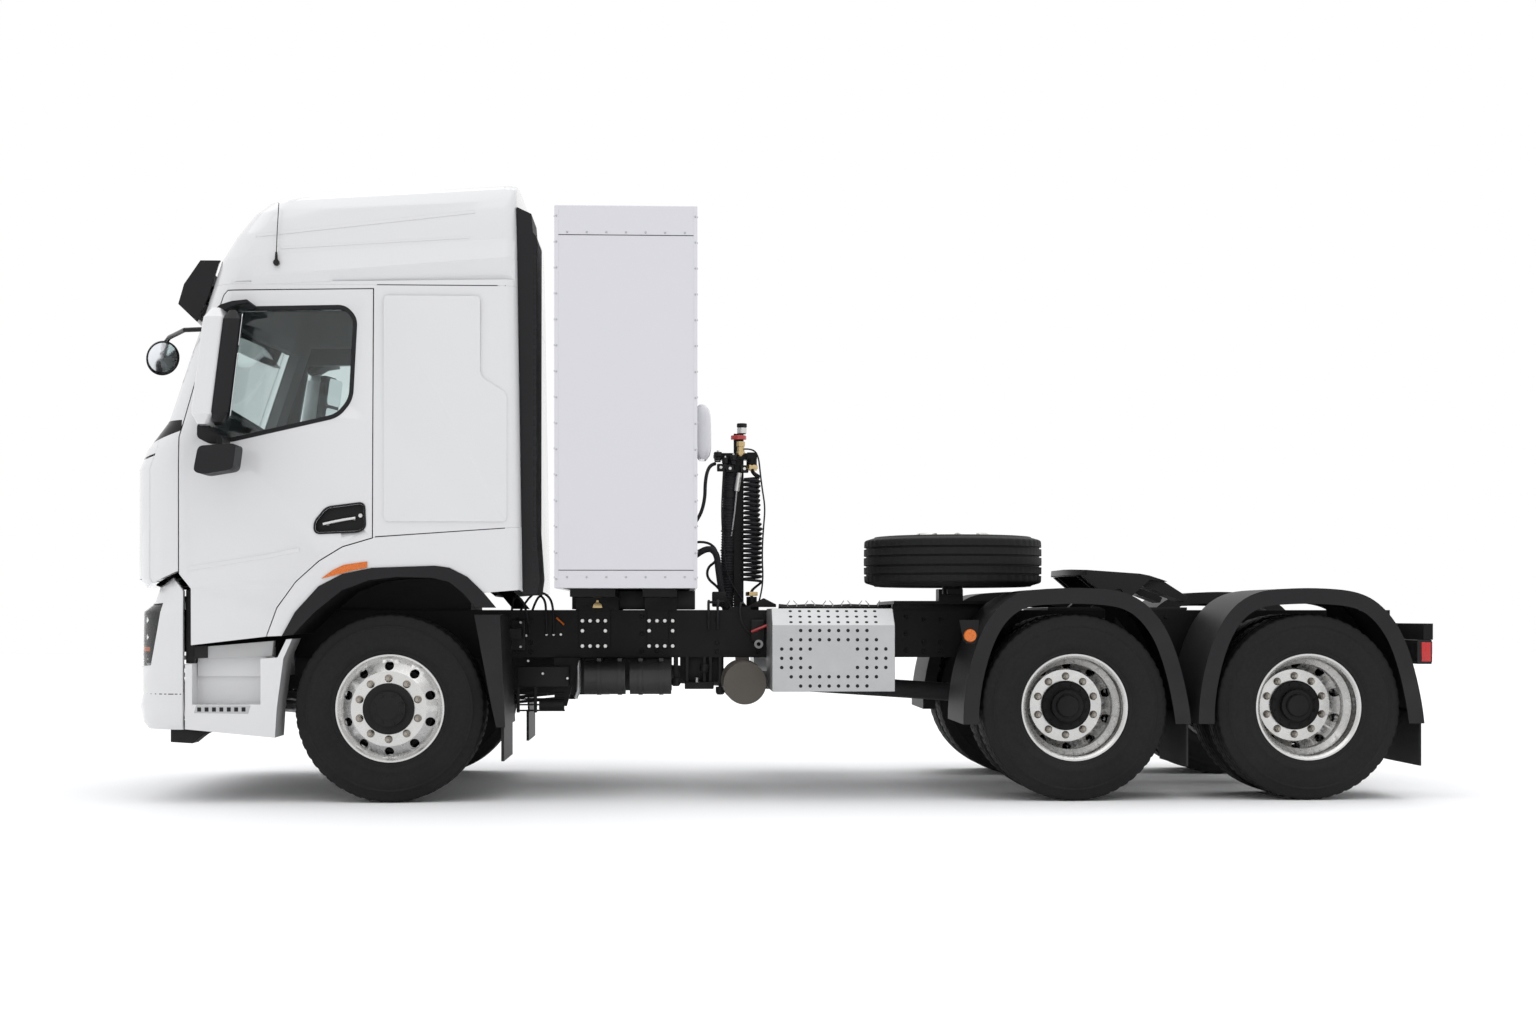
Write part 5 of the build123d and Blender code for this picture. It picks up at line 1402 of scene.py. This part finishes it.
# A hub: y of the nuts' seats, turned shapes (profile, y), bolts (y, circle, count) and drum (profile, y).
FRONT_HUB = (FRONT_TYRE_Y + 168,
             (([(0, 24), (60, 24), (66, 20), (94, 18), (97, 14), (97, 0), (0, 0)], 1222),),
             (1240, 81, 8),
             ([(196, 0), (236, 0), (238, 6), (238, 70), (196, 70)], 1050))
DRIVE_HUB = (DUAL_OUTER_Y - 144,
             (([(0, 26), (58, 26), (64, 21), (66, 4), (86, 3), (90, 0), (90, -20), (0, -20)], 1014),
              ([(104, 5), (133, 5), (139, 1), (139, -8), (104, -8)], 972)),
             (976, 119, 12),
             ([(150, 0), (232, 0), (234, 8), (234, 120), (150, 120)], 690))
NUT_CIRCLE, NUT_COUNT = 167.5, 10


class TRACTOR_OT_wheels(bpy.types.Operator):
    """Build the tyres, rims, hubs and wheel nuts"""
    bl_idname = "tractor.wheels"
    bl_label = "Wheels"

    def execute(self, context):
        places = []
        for hand, side in SIDES:
            places.append((f"tyre_front_{side}", f"wheel_front_{side}", 0, hand, [hand * FRONT_TYRE_Y]))
            for number, x in enumerate(DRIVE_AXLES, start=1):
                rows = [hand * DUAL_OUTER_Y, hand * DUAL_INNER_Y]
                places.append((f"tyres_drive{number}_{side}", f"wheels_drive{number}_{side}", x, hand, rows))
        for tyre_node, wheel_node, x, hand, rows in places:
            body = frame["nodes"][tyre_node]["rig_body"]
            rubber = Shape()
            for y in rows:
                tyre_shape(rubber, (x, y, TYRE_RADIUS), 1)
            tyre = add_piece(f"{tyre_node}_tread", rubber, body, "tyre_rubber", angle=38.0)
            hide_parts(tyre_node)
            dress_wheel(wheel_node, x, TYRE_RADIUS)
            nut_y, hub_turns, hub_bolts, drum_turn = FRONT_HUB if len(rows) == 1 else DRIVE_HUB
            nut_spots = ring_of((x, hand * nut_y, TYRE_RADIUS), NUT_CIRCLE, NUT_COUNT)
            for name, out, radius, height, sides in (("washers", 0, 22, 5, 20), ("nuts", 4, 18.5, 26, 6),
                                                     ("studs", 26, 11, 14, 12)):
                spots = [((sx, sy + hand * out, sz), (0, hand, 0)) for sx, sy, sz in nut_spots]
                add_heads(f"{wheel_node}_{name}", spots, body, "nut_steel", radius, height, sides)
            hub, drum = Shape(), Shape()
            for profile, y in hub_turns:
                hub.lathe(profile, (x, hand * y, TYRE_RADIUS), outward=hand, segments=48)
            add_piece(f"{wheel_node}_cap", hub, body, "casting")
            y, bolt_circle, bolt_count = hub_bolts
            bolts = ring_of((x, hand * y, TYRE_RADIUS), bolt_circle, bolt_count)
            add_heads(f"{wheel_node}_hub_bolts", [(spot, (0, hand, 0)) for spot in bolts], body,
                      "casting", 9, 8, 6)
            profile, y = drum_turn
            drum.lathe(profile, (x, hand * y, TYRE_RADIUS), outward=hand, segments=64)
            add_piece(f"{wheel_node}_drum", drum, body, "casting")
        low, high = node_box("spare_tyre")
        middle = tuple((low + high) / 2)
        spare = Shape()
        tyre_shape(spare, middle, 1, "Z")
        tyre = add_piece("spare_tyre_tread", spare, "chassis", "tyre_rubber", angle=38.0)
        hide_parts("spare_tyre")
        dress("spare_rim", "polished_alloy", 0.0012)
        dress("spare_carrier", "frame_paint", 0.002)
        return {"FINISHED"}


# ---- the frame and what it carries --------------------------------------------------------
class TRACTOR_OT_frame(bpy.types.Operator):
    """Dress the frame, axles and springs, and add their bolts and pipes"""
    bl_idname = "tractor.frame"
    bl_label = "Frame and axles"

    def execute(self, context):
        for name in ("frame_rails", "cross_members", "cabinet_base"):
            dress(name, "frame_paint", 0.0015)
        for name in ("leaf_springs", "front_axle", "drive_axles", "knuckle_left", "knuckle_right", "tie_rod"):
            dress(name, "casting", 0.002)
        dress("driveline", "engine_casting", 0.006)
        tanks = dress("air_tanks", "tank_paint", 0.002)
        second_finish(tanks, "cast_iron", lambda face: face.calc_center_median().x > place(1800, 0, 0).x)
        rail = node_box("frame_rails")
        low_z, high_z = rail[0].z, rail[1].z
        bright, dark = [], []
        for hand, _ in SIDES:
            out = hand * rail[1].y
            toward = (0, hand, 0)
            for x in (1420, 2900, 3560, 4461, 5690):
                for dx in (-45, 45):
                    for z in (low_z + 40, low_z + 140, high_z - 40):
                        dark.append(((x + dx, out, z), toward))
            for low, high in ((1025, 1160), (1418, 1557)):
                for z, count in ((1004, 4), (945, 2), (855, 4)):
                    out_y = hand * (rail[1].y + 14)
                    bright += [(spot, toward) for spot in row_of((low, out_y, z), (high, out_y, z), count)]
            for x in (560, 640, 720, 1820, 2060, 3050, 3150, 3320, 5350, 5450, 5550):
                for z in (low_z + 34, low_z + 88, high_z - 60):
                    dark.append(((x, out, z), toward))
        size = context.scene.tractor_sizes.bolt_radius * 1000
        self.add_fittings()
        add_heads("plate_bolts", bright, "chassis", "bolt_steel", size, 9, 6)
        add_heads("frame_bolts", dark, "chassis", "casting", size, 10, 6)
        return {"FINISHED"}

    def add_fittings(self):
        """The valves, brackets, pipes and cables on the left side of the frame."""
        black, steel, pale, red, orange = Shape(), Shape(), Shape(), Shape(), Shape()
        black.box((645, 951), (-520, -430), (616, 737), 6)
        for z in (478, 512, 546, 578):
            black.bar((645, -500, z), (925, -500, z), 5, 10)
        for x in (652, 753):
            black.box((x - 9, x + 9), (-512, -488), (466, 640), 2)
        black.lathe([(0, 0), (30, 0), (33, -4), (33, -142), (30, -146), (0, -146)], (921, -500, 512), "X",
                    segments=24)
        black.box((1628, 1800), (-450, -390), (600, 642), 6)
        black.box((1046, 1552), (-376, -364), (590, 800), 2)
        black.box((1600, 1860), (-376, -364), (640, 800), 2)
        black.box((960, 1690), (-380, 380), (1072, 1182), 4)
        for x, low_z in ((1642, 600), (1745, 640), (1781, 600), (1838, 566)):
            black.box((x - 9, x + 9), (-440, -410), (low_z, 792), 2)
        for x, z in ((1576, 640), (1745, 720), (1838, 590)):
            black.lathe([(0, 0), (24, 0), (27, -5), (27, -34), (18, -46), (0, -46)], (x, -452, z + 24), "Z",
                        segments=20)
        black.box((1562, 1590), (-440, -410), (640, 792), 3)
        black.box((2020, 2100), (-470, -432), (880, 1010), 6)
        black.box((606, 690), (-460, -430), (830, 1010), 4)
        steel.pipe([(1002, -470, 770), (1004, -470, 700), (1004, -471, 640), (1000, -472, 590),
                    (984, -474, 548)], 14, 16)
        steel.bar((1700, -446, 640), (1700, -446, 668), 12)
        pale.lathe([(12, 0), (26, 0), (26, 5), (12, 5)], (2065, -470, 866), outward=-1, segments=32)
        red.bar((2022, -474, 938), (2122, -474, 980), 9)
        orange.bar((872, -446, 1022), (918, -446, 980), 6)
        loom = [(2190, -330, 1090), (2260, -330, 1084), (2380, -336, 1090), (2500, -330, 1084),
                (2620, -336, 1090), (2740, -330, 1085), (2850, -330, 1084)]
        black.pipe(loom, 15, 14)
        black.pipe([(x, y - 26, z - 4) for x, y, z in loom], 9, 12)
        for i in range(11):
            x = 2240 + 54 * i
            pale.lathe([(16, 0), (20, 0), (20, 7), (16, 7)], (x, -332, 1087), "X", segments=16)
            pale.bar((x + 3, -336, 1104), (x + 16 * (-1) ** i, -348, 1124), 2.2, 6)
        for name, shape, finish in (("frame_valves", black, "black_plastic"),
                                    ("frame_pipe", steel, "sheet_aluminium"),
                                    ("frame_ties", pale, "pale_plastic"),
                                    ("frame_red_cable", red, "red_paint"),
                                    ("frame_orange_cable", orange, "amber_lens")):
            add_piece(name, shape, "chassis", finish)
        screws = [(663, 851), (663, 995), (693, 917), (813, 923), (855, 923), (897, 923), (705, 767),
                  (879, 767)]
        spots = [((x, -461 if x < 690 else -431, z), (0, -1, 0)) for x, z in screws]
        spots += [((x, -521, z), (0, -1, 0)) for x, z in ((797, 695), (941, 667))]
        add_heads("frame_screws", spots, "chassis", "bolt_steel", 9, 6, 6)
        plate = Shape()
        face = Surface("cabinet_base").tree.ray_cast(place(1114, -3000, 1095), Vector((0, 1, 0)))[0].y * 1000
        plate.slab([(1085, 1080), (1143, 1080), (1138, 1100), (1124, 1113), (1104, 1113), (1090, 1100)],
                   (face - 2, face + 1), 1)
        plate.bar((1114, face - 1, 1118), (1114, face + 1, 1118), 8)
        add_piece("lift_mark", plate, "chassis", "brass")


class TRACTOR_OT_cabinet(bpy.types.Operator):
    """Dress the gas bottle cabinet with its mouldings, joints and rivets"""
    bl_idname = "tractor.cabinet"
    bl_label = "Gas cabinet"

    def execute(self, context):
        dress("gas_cabinet", "cabinet_paint", 0.006)
        low, high = node_box("gas_cabinet")
        rivets = []
        trim = Shape()
        lines = Shape()
        for hand, _ in SIDES:
            out = hand * high.y
            for x0, x1 in ((low.x, low.x + 22), (high.x - 22, high.x)):
                trim.box((x0 + (0 if x0 == low.x else 1), x1), sorted((out - hand * 2, out + hand * 1.6)),
                         (low.z + 2, high.z - 4), 0.7)
            for z in (low.z + 100, high.z - 165):
                lines.box((low.x + 4, high.x - 4), sorted((out - hand, out + hand * 0.8)), (z - 2, z + 2))
            for x in (low.x + 11, high.x - 11):
                rivets += [(spot, (0, hand, 0)) for spot in
                           row_of((x, out + hand * 1.4, low.z + 50), (x, out + hand * 1.4, high.z - 60), 15)]
            for z in (low.z + 62, high.z - 150):
                rivets += [(spot, (0, hand, 0)) for spot in
                           row_of((low.x + 70, out + hand * 0.4, z), (high.x - 70, out + hand * 0.4, z), 7)]
        for x, way in ((low.x, -1), (high.x, 1)):
            for y in (low.y + 12, high.y - 12):
                rivets += [(spot, (way, 0, 0)) for spot in
                           row_of((x + way * 0.4, y, low.z + 60), (x + way * 0.4, y, high.z - 60), 15)]
            for y in (-400, 400):
                lines.box(sorted((x - way, x + way * 0.8)), (y - 2, y + 2), (low.z + 60, high.z - 60))
        add_piece("cabinet_corners", trim, "chassis", "cabinet_paint")
        add_piece("cabinet_joints", lines, "chassis", "seal_rubber")
        size = context.scene.tractor_sizes.rivet_radius * 1000
        add_heads("cabinet_rivets", rivets, "chassis", "sheet_aluminium", size, 3.0, 12)
        cover = Shape()
        rounded_block(cover, (high.x + 34, -680, 1936, 52, 130), (high.x + 30, -680, 2250, 52, 130),
                      power=3.2, edge=0.3)
        add_piece("filler_cover", cover, "chassis", "cabinet_paint")
        return {"FINISHED"}


class TRACTOR_OT_side_boxes(bpy.types.Operator):
    """Dress the battery box and silencer, with painted shade discs for the holes in the battery box's
    perforated cover
    """
    bl_idname = "tractor.side_boxes"
    bl_label = "Battery box and silencer"

    def execute(self, context):
        dress("battery_box", "sheet_aluminium", 0.004)
        dress("silencer", "sheet_aluminium", 0.004)
        low, high = node_box("battery_box")
        out = low.y
        size = context.scene.tractor_sizes.hole_radius * 1000
        # The holes are painted: flat dark discs on the cover stand in for the shade inside each hole.
        hole_shade_discs = []
        pitch = (52.7, 51.4)
        ends = (0, 1, 2, 3, 8, 9, 10, 11)
        pattern = (range(2, 10), range(1, 11), ends, (0, 1, 2, 9, 10, 11), ends, range(1, 11), range(2, 10))
        for row, columns in enumerate(pattern):
            for column in columns:
                hole_shade_discs.append(((low.x + 53 + column * pitch[0], out - 0.2, 952 - row * pitch[1]), (0, -1, 0)))
        for row in range(3):
            share = (row + 0.5) / 3
            for column in range(1, 11):
                spot = (low.x + 53 + column * pitch[0], out + 120 * share, 983 + 92 * share)
                hole_shade_discs.append((spot, (0, -0.61, 0.79)))
        # Painted shade of the holes, as thin dark discs.
        add_heads("painted_hole_shade", hole_shade_discs, "chassis", "seal_rubber", size, 0.6, 16)
        return {"FINISHED"}


class TRACTOR_OT_coupling(bpy.types.Operator):
    """Dress the fifth wheel, rear guards and tail lamps"""
    bl_idname = "tractor.coupling"
    bl_label = "Coupling and tail"

    def execute(self, context):
        dress("fifth_wheel_plate", "coupling_casting", 0.004)
        dress("fifth_wheel_base", "coupling_casting", 0.003)
        dress("rear_guards", "black_plastic", 0.003, 40.0)
        dress("tail_lamps", "smooth_black", 0.004)
        low, high = node_box("tail_lamps")
        lenses = {"red": Shape(), "amber": Shape(), "white": Shape()}
        for hand, _ in SIDES:
            for first, last, tone in ((826, 940, "red"), (944, 1000, "white"), (1004, 1056, "amber"),
                                      (1060, 1114, "red")):
                lenses[tone].box((high.x - 4, high.x + 5), span(hand, first, last),
                                 (low.z + 10, high.z - 10), 3)
            lenses["red"].box((high.x - 62, high.x - 8), span(hand, high.y - 4, high.y + 4),
                              (low.z + 14, high.z - 14), 3)
        for tone, shape in lenses.items():
            add_piece(f"tail_lenses_{tone}", shape, "chassis", f"{tone}_lens")
        bracket = Shape()
        bracket.slab([(3150, 1010), (3262, 1010), (3250, 900), (3232, 878), (3190, 878), (3172, 900)],
                     (-1238, -1234), 1)
        bracket.box((3166, 3256), (-1236, -1190), (996, 1002), 1)
        add_piece("marker_bracket", bracket, "chassis", "frame_paint")
        marker = Shape()
        marker.lathe([(0, 14), (20, 13), (33, 8), (36, 0), (0, 0)], (3211, -1239, 924), outward=-1,
                     segments=40)
        add_piece("side_marker", marker, "chassis", "amber_lens")
        return {"FINISHED"}


# ---- inside the cab -----------------------------------------------------------------------
SEAT_Y = 600
PAD_PRESSURE, PAD_FRAMES, PAD_FILL, SEAM_REACH = 4.0, 20, 0.8, 16


def add_pad(name, outline, y, voxel, most, seams=()):
    """A foam pad: its cover is blown up under pressure, and moves by no more than a set amount."""
    shape = Shape()
    shape.slab(outline, y, 14)
    piece = new_object(name, shape.mesh(name))
    remesh = piece.modifiers.new("Voxels", "REMESH")
    remesh.mode = "VOXEL"
    remesh.voxel_size = voxel / 1000
    apply_modifiers(piece)
    rest = [vert.co.copy() for vert in piece.data.vertices]
    cover = piece.modifiers.new("Cover", "CLOTH")
    cover.settings.use_pressure = True
    cover.settings.uniform_pressure_force = PAD_PRESSURE
    cover.settings.effector_weights.gravity = 0.0
    scene = bpy.context.scene
    for step in range(1, PAD_FRAMES + 1):
        scene.frame_set(step)
    apply_modifiers(piece)
    scene.frame_set(1)
    for vert, start in zip(piece.data.vertices, rest):
        moved = vert.co - start
        if moved.length > most / 1000:
            vert.co = start + moved.normalized() * (most / 1000)
    for level, depth in seams:
        for vert in piece.data.vertices:
            gap = abs(vert.co.z - place(0, 0, level).z) * 1000
            if gap < SEAM_REACH:
                vert.co -= vert.normal * depth / 1000 * (1 - gap / SEAM_REACH)
    smoother = piece.modifiers.new("Smoother", "SUBSURF")
    smoother.levels = 1
    apply_modifiers(piece)
    piece.data.materials.clear()
    piece.data.materials.append(finish_of("seat_cloth"))
    smooth_by_angle(piece.data, 180.0)
    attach(piece, "cab")
    return piece


class TRACTOR_OT_inside(bpy.types.Operator):
    """Fit out the cab with its dashboard, seats and bunk"""
    bl_idname = "tractor.inside"
    bl_label = "Inside of the cab"

    def execute(self, context):
        dress("dashboard", "grey_plastic", 0.006)
        for hand, side in SIDES:
            y = hand * SEAT_Y
            cushion = add_pad(f"seat_cushion_{side}",
                              [(-628, 1716), (-142, 1716), (-142, 1812), (-628, 1812)],
                              (y - 238, y + 238), 15, 14)
            if hand < 0:
                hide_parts("seats")
            add_pad(f"seat_back_{side}", [(-192, 1838), (-92, 1838), (-14, 2406), (-84, 2412)],
                    (y - 228, y + 228), 15, 12, ((1960, 8), (2090, 8), (2220, 8)))
            add_pad(f"head_rest_{side}", [(-76, 2436), (-14, 2430), (6, 2566), (-58, 2574)],
                    (y - 128, y + 128), 13, 10)
            frame_parts = Shape()
            for offset in (-60, 60):
                frame_parts.bar((-52, y + offset, 2390), (-44, y + offset, 2450), 7)
            frame_parts.box((-600, -160), (y - 200, y + 200), (1700, 1722), 6)
            add_piece(f"seat_frame_{side}", frame_parts, "cab", "casting")
        bunk = add_pad("bunk_mattress", [(106, 1802), (626, 1802), (626, 1914), (106, 1914)], (-1104, 1104),
                       26, 12)
        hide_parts("bunk")
        for name in ("windscreen", "door_glass_left", "door_glass_right"):
            repaint(name, "cab_glass")
        return {"FINISHED"}


# ---- stage --------------------------------------------------------------------------------
FLOOR_REACH = 40000
ROOM_LIGHT, SKY_LIGHT, SKY_SPREAD = 0.86, 1.5, 100


class TRACTOR_OT_stage(bpy.types.Operator):
    """Lay the floor and set up the lights, the background and the camera"""
    bl_idname = "tractor.stage"
    bl_label = "Stage"

    def execute(self, context):
        scene = context.scene
        ground = Shape()
        ground.box((-FLOOR_REACH, FLOOR_REACH), (-FLOOR_REACH, FLOOR_REACH), (-20, 0))
        mesh = ground.mesh("floor")
        floor = new_object("floor", mesh)
        mesh.materials.append(new_material("floor_paper", (0.93, 0.93, 0.93), 0.9)[0])

        world = scene.world or bpy.data.worlds.new("World")
        scene.world = world
        world.use_nodes = True
        tree = world.node_tree
        tree.nodes.clear()
        out = tree.nodes.new("ShaderNodeOutputWorld")
        soft = node(tree, "Background", Strength=ROOM_LIGHT)
        soft.inputs["Color"].default_value = (0.97, 0.98, 1.0, 1.0)
        white = node(tree, "Background", Strength=1.0)
        white.inputs["Color"].default_value = (1.0, 1.0, 1.0, 1.0)
        path = node(tree, "LightPath")
        seen = math_node(tree, "MAXIMUM", path.outputs["Is Camera Ray"], path.outputs["Is Transmission Ray"])
        seen = math_node(tree, "MAXIMUM", seen, path.outputs["Is Glossy Ray"])
        chosen = node(tree, "MixShader", {0: seen, 1: soft.outputs[0], 2: white.outputs[0]})
        tree.links.new(chosen.outputs[0], out.inputs["Surface"])
        sky = bpy.data.lights.new("sky", "SUN")
        sky.energy = SKY_LIGHT
        sky.angle = math.radians(SKY_SPREAD)
        new_object("sky", sky)

        view = scene.tractor_camera
        data = bpy.data.cameras.new("camera")
        data.lens = view.lens
        data.sensor_width = 36.0
        data.shift_y = 0.067
        camera = new_object("camera", data)
        camera.location = place(view.along * 1000, -(view.distance + 1.245) * 1000, view.height * 1000)
        camera.rotation_euler = (math.radians(90), 0.0, -view.yaw)
        scene.camera = camera
        scene.view_settings.view_transform = "Standard"
        return {"FINISHED"}


# ---- add-on -------------------------------------------------------------------------------
PROPERTY_GROUPS = (TractorColours, TractorSizes, TractorCamera)
OPERATORS = (TRACTOR_OT_stage, TRACTOR_OT_stand, TRACTOR_OT_body, TRACTOR_OT_seams, TRACTOR_OT_trims,
             TRACTOR_OT_mirrors, TRACTOR_OT_wheels, TRACTOR_OT_frame, TRACTOR_OT_cabinet,
             TRACTOR_OT_side_boxes,
             TRACTOR_OT_coupling, TRACTOR_OT_front, TRACTOR_OT_inside)


class TRACTOR_PT_panel(bpy.types.Panel):
    bl_idname = "TRACTOR_PT_panel"
    bl_label = "Tractor unit"
    bl_space_type = "VIEW_3D"
    bl_region_type = "UI"
    bl_category = "Tractor"

    def draw(self, context):
        for group in (context.scene.tractor_colours, context.scene.tractor_sizes,
                      context.scene.tractor_camera):
            for key in group.__annotations__:
                self.layout.prop(group, key)
        for operator in OPERATORS:
            self.layout.operator(operator.bl_idname)


def register():
    for cls in PROPERTY_GROUPS + OPERATORS + (TRACTOR_PT_panel,):
        bpy.utils.register_class(cls)
    bpy.types.Scene.tractor_colours = bpy.props.PointerProperty(type=TractorColours)
    bpy.types.Scene.tractor_sizes = bpy.props.PointerProperty(type=TractorSizes)
    bpy.types.Scene.tractor_camera = bpy.props.PointerProperty(type=TractorCamera)


def unregister():
    del bpy.types.Scene.tractor_camera
    del bpy.types.Scene.tractor_sizes
    del bpy.types.Scene.tractor_colours
    for cls in reversed(PROPERTY_GROUPS + OPERATORS + (TRACTOR_PT_panel,)):
        bpy.utils.unregister_class(cls)


def main():
    register()
    for operator in OPERATORS:
        area, name = operator.bl_idname.split(".")
        getattr(getattr(bpy.ops, area), name)()


if __name__ == "__main__":
    main()
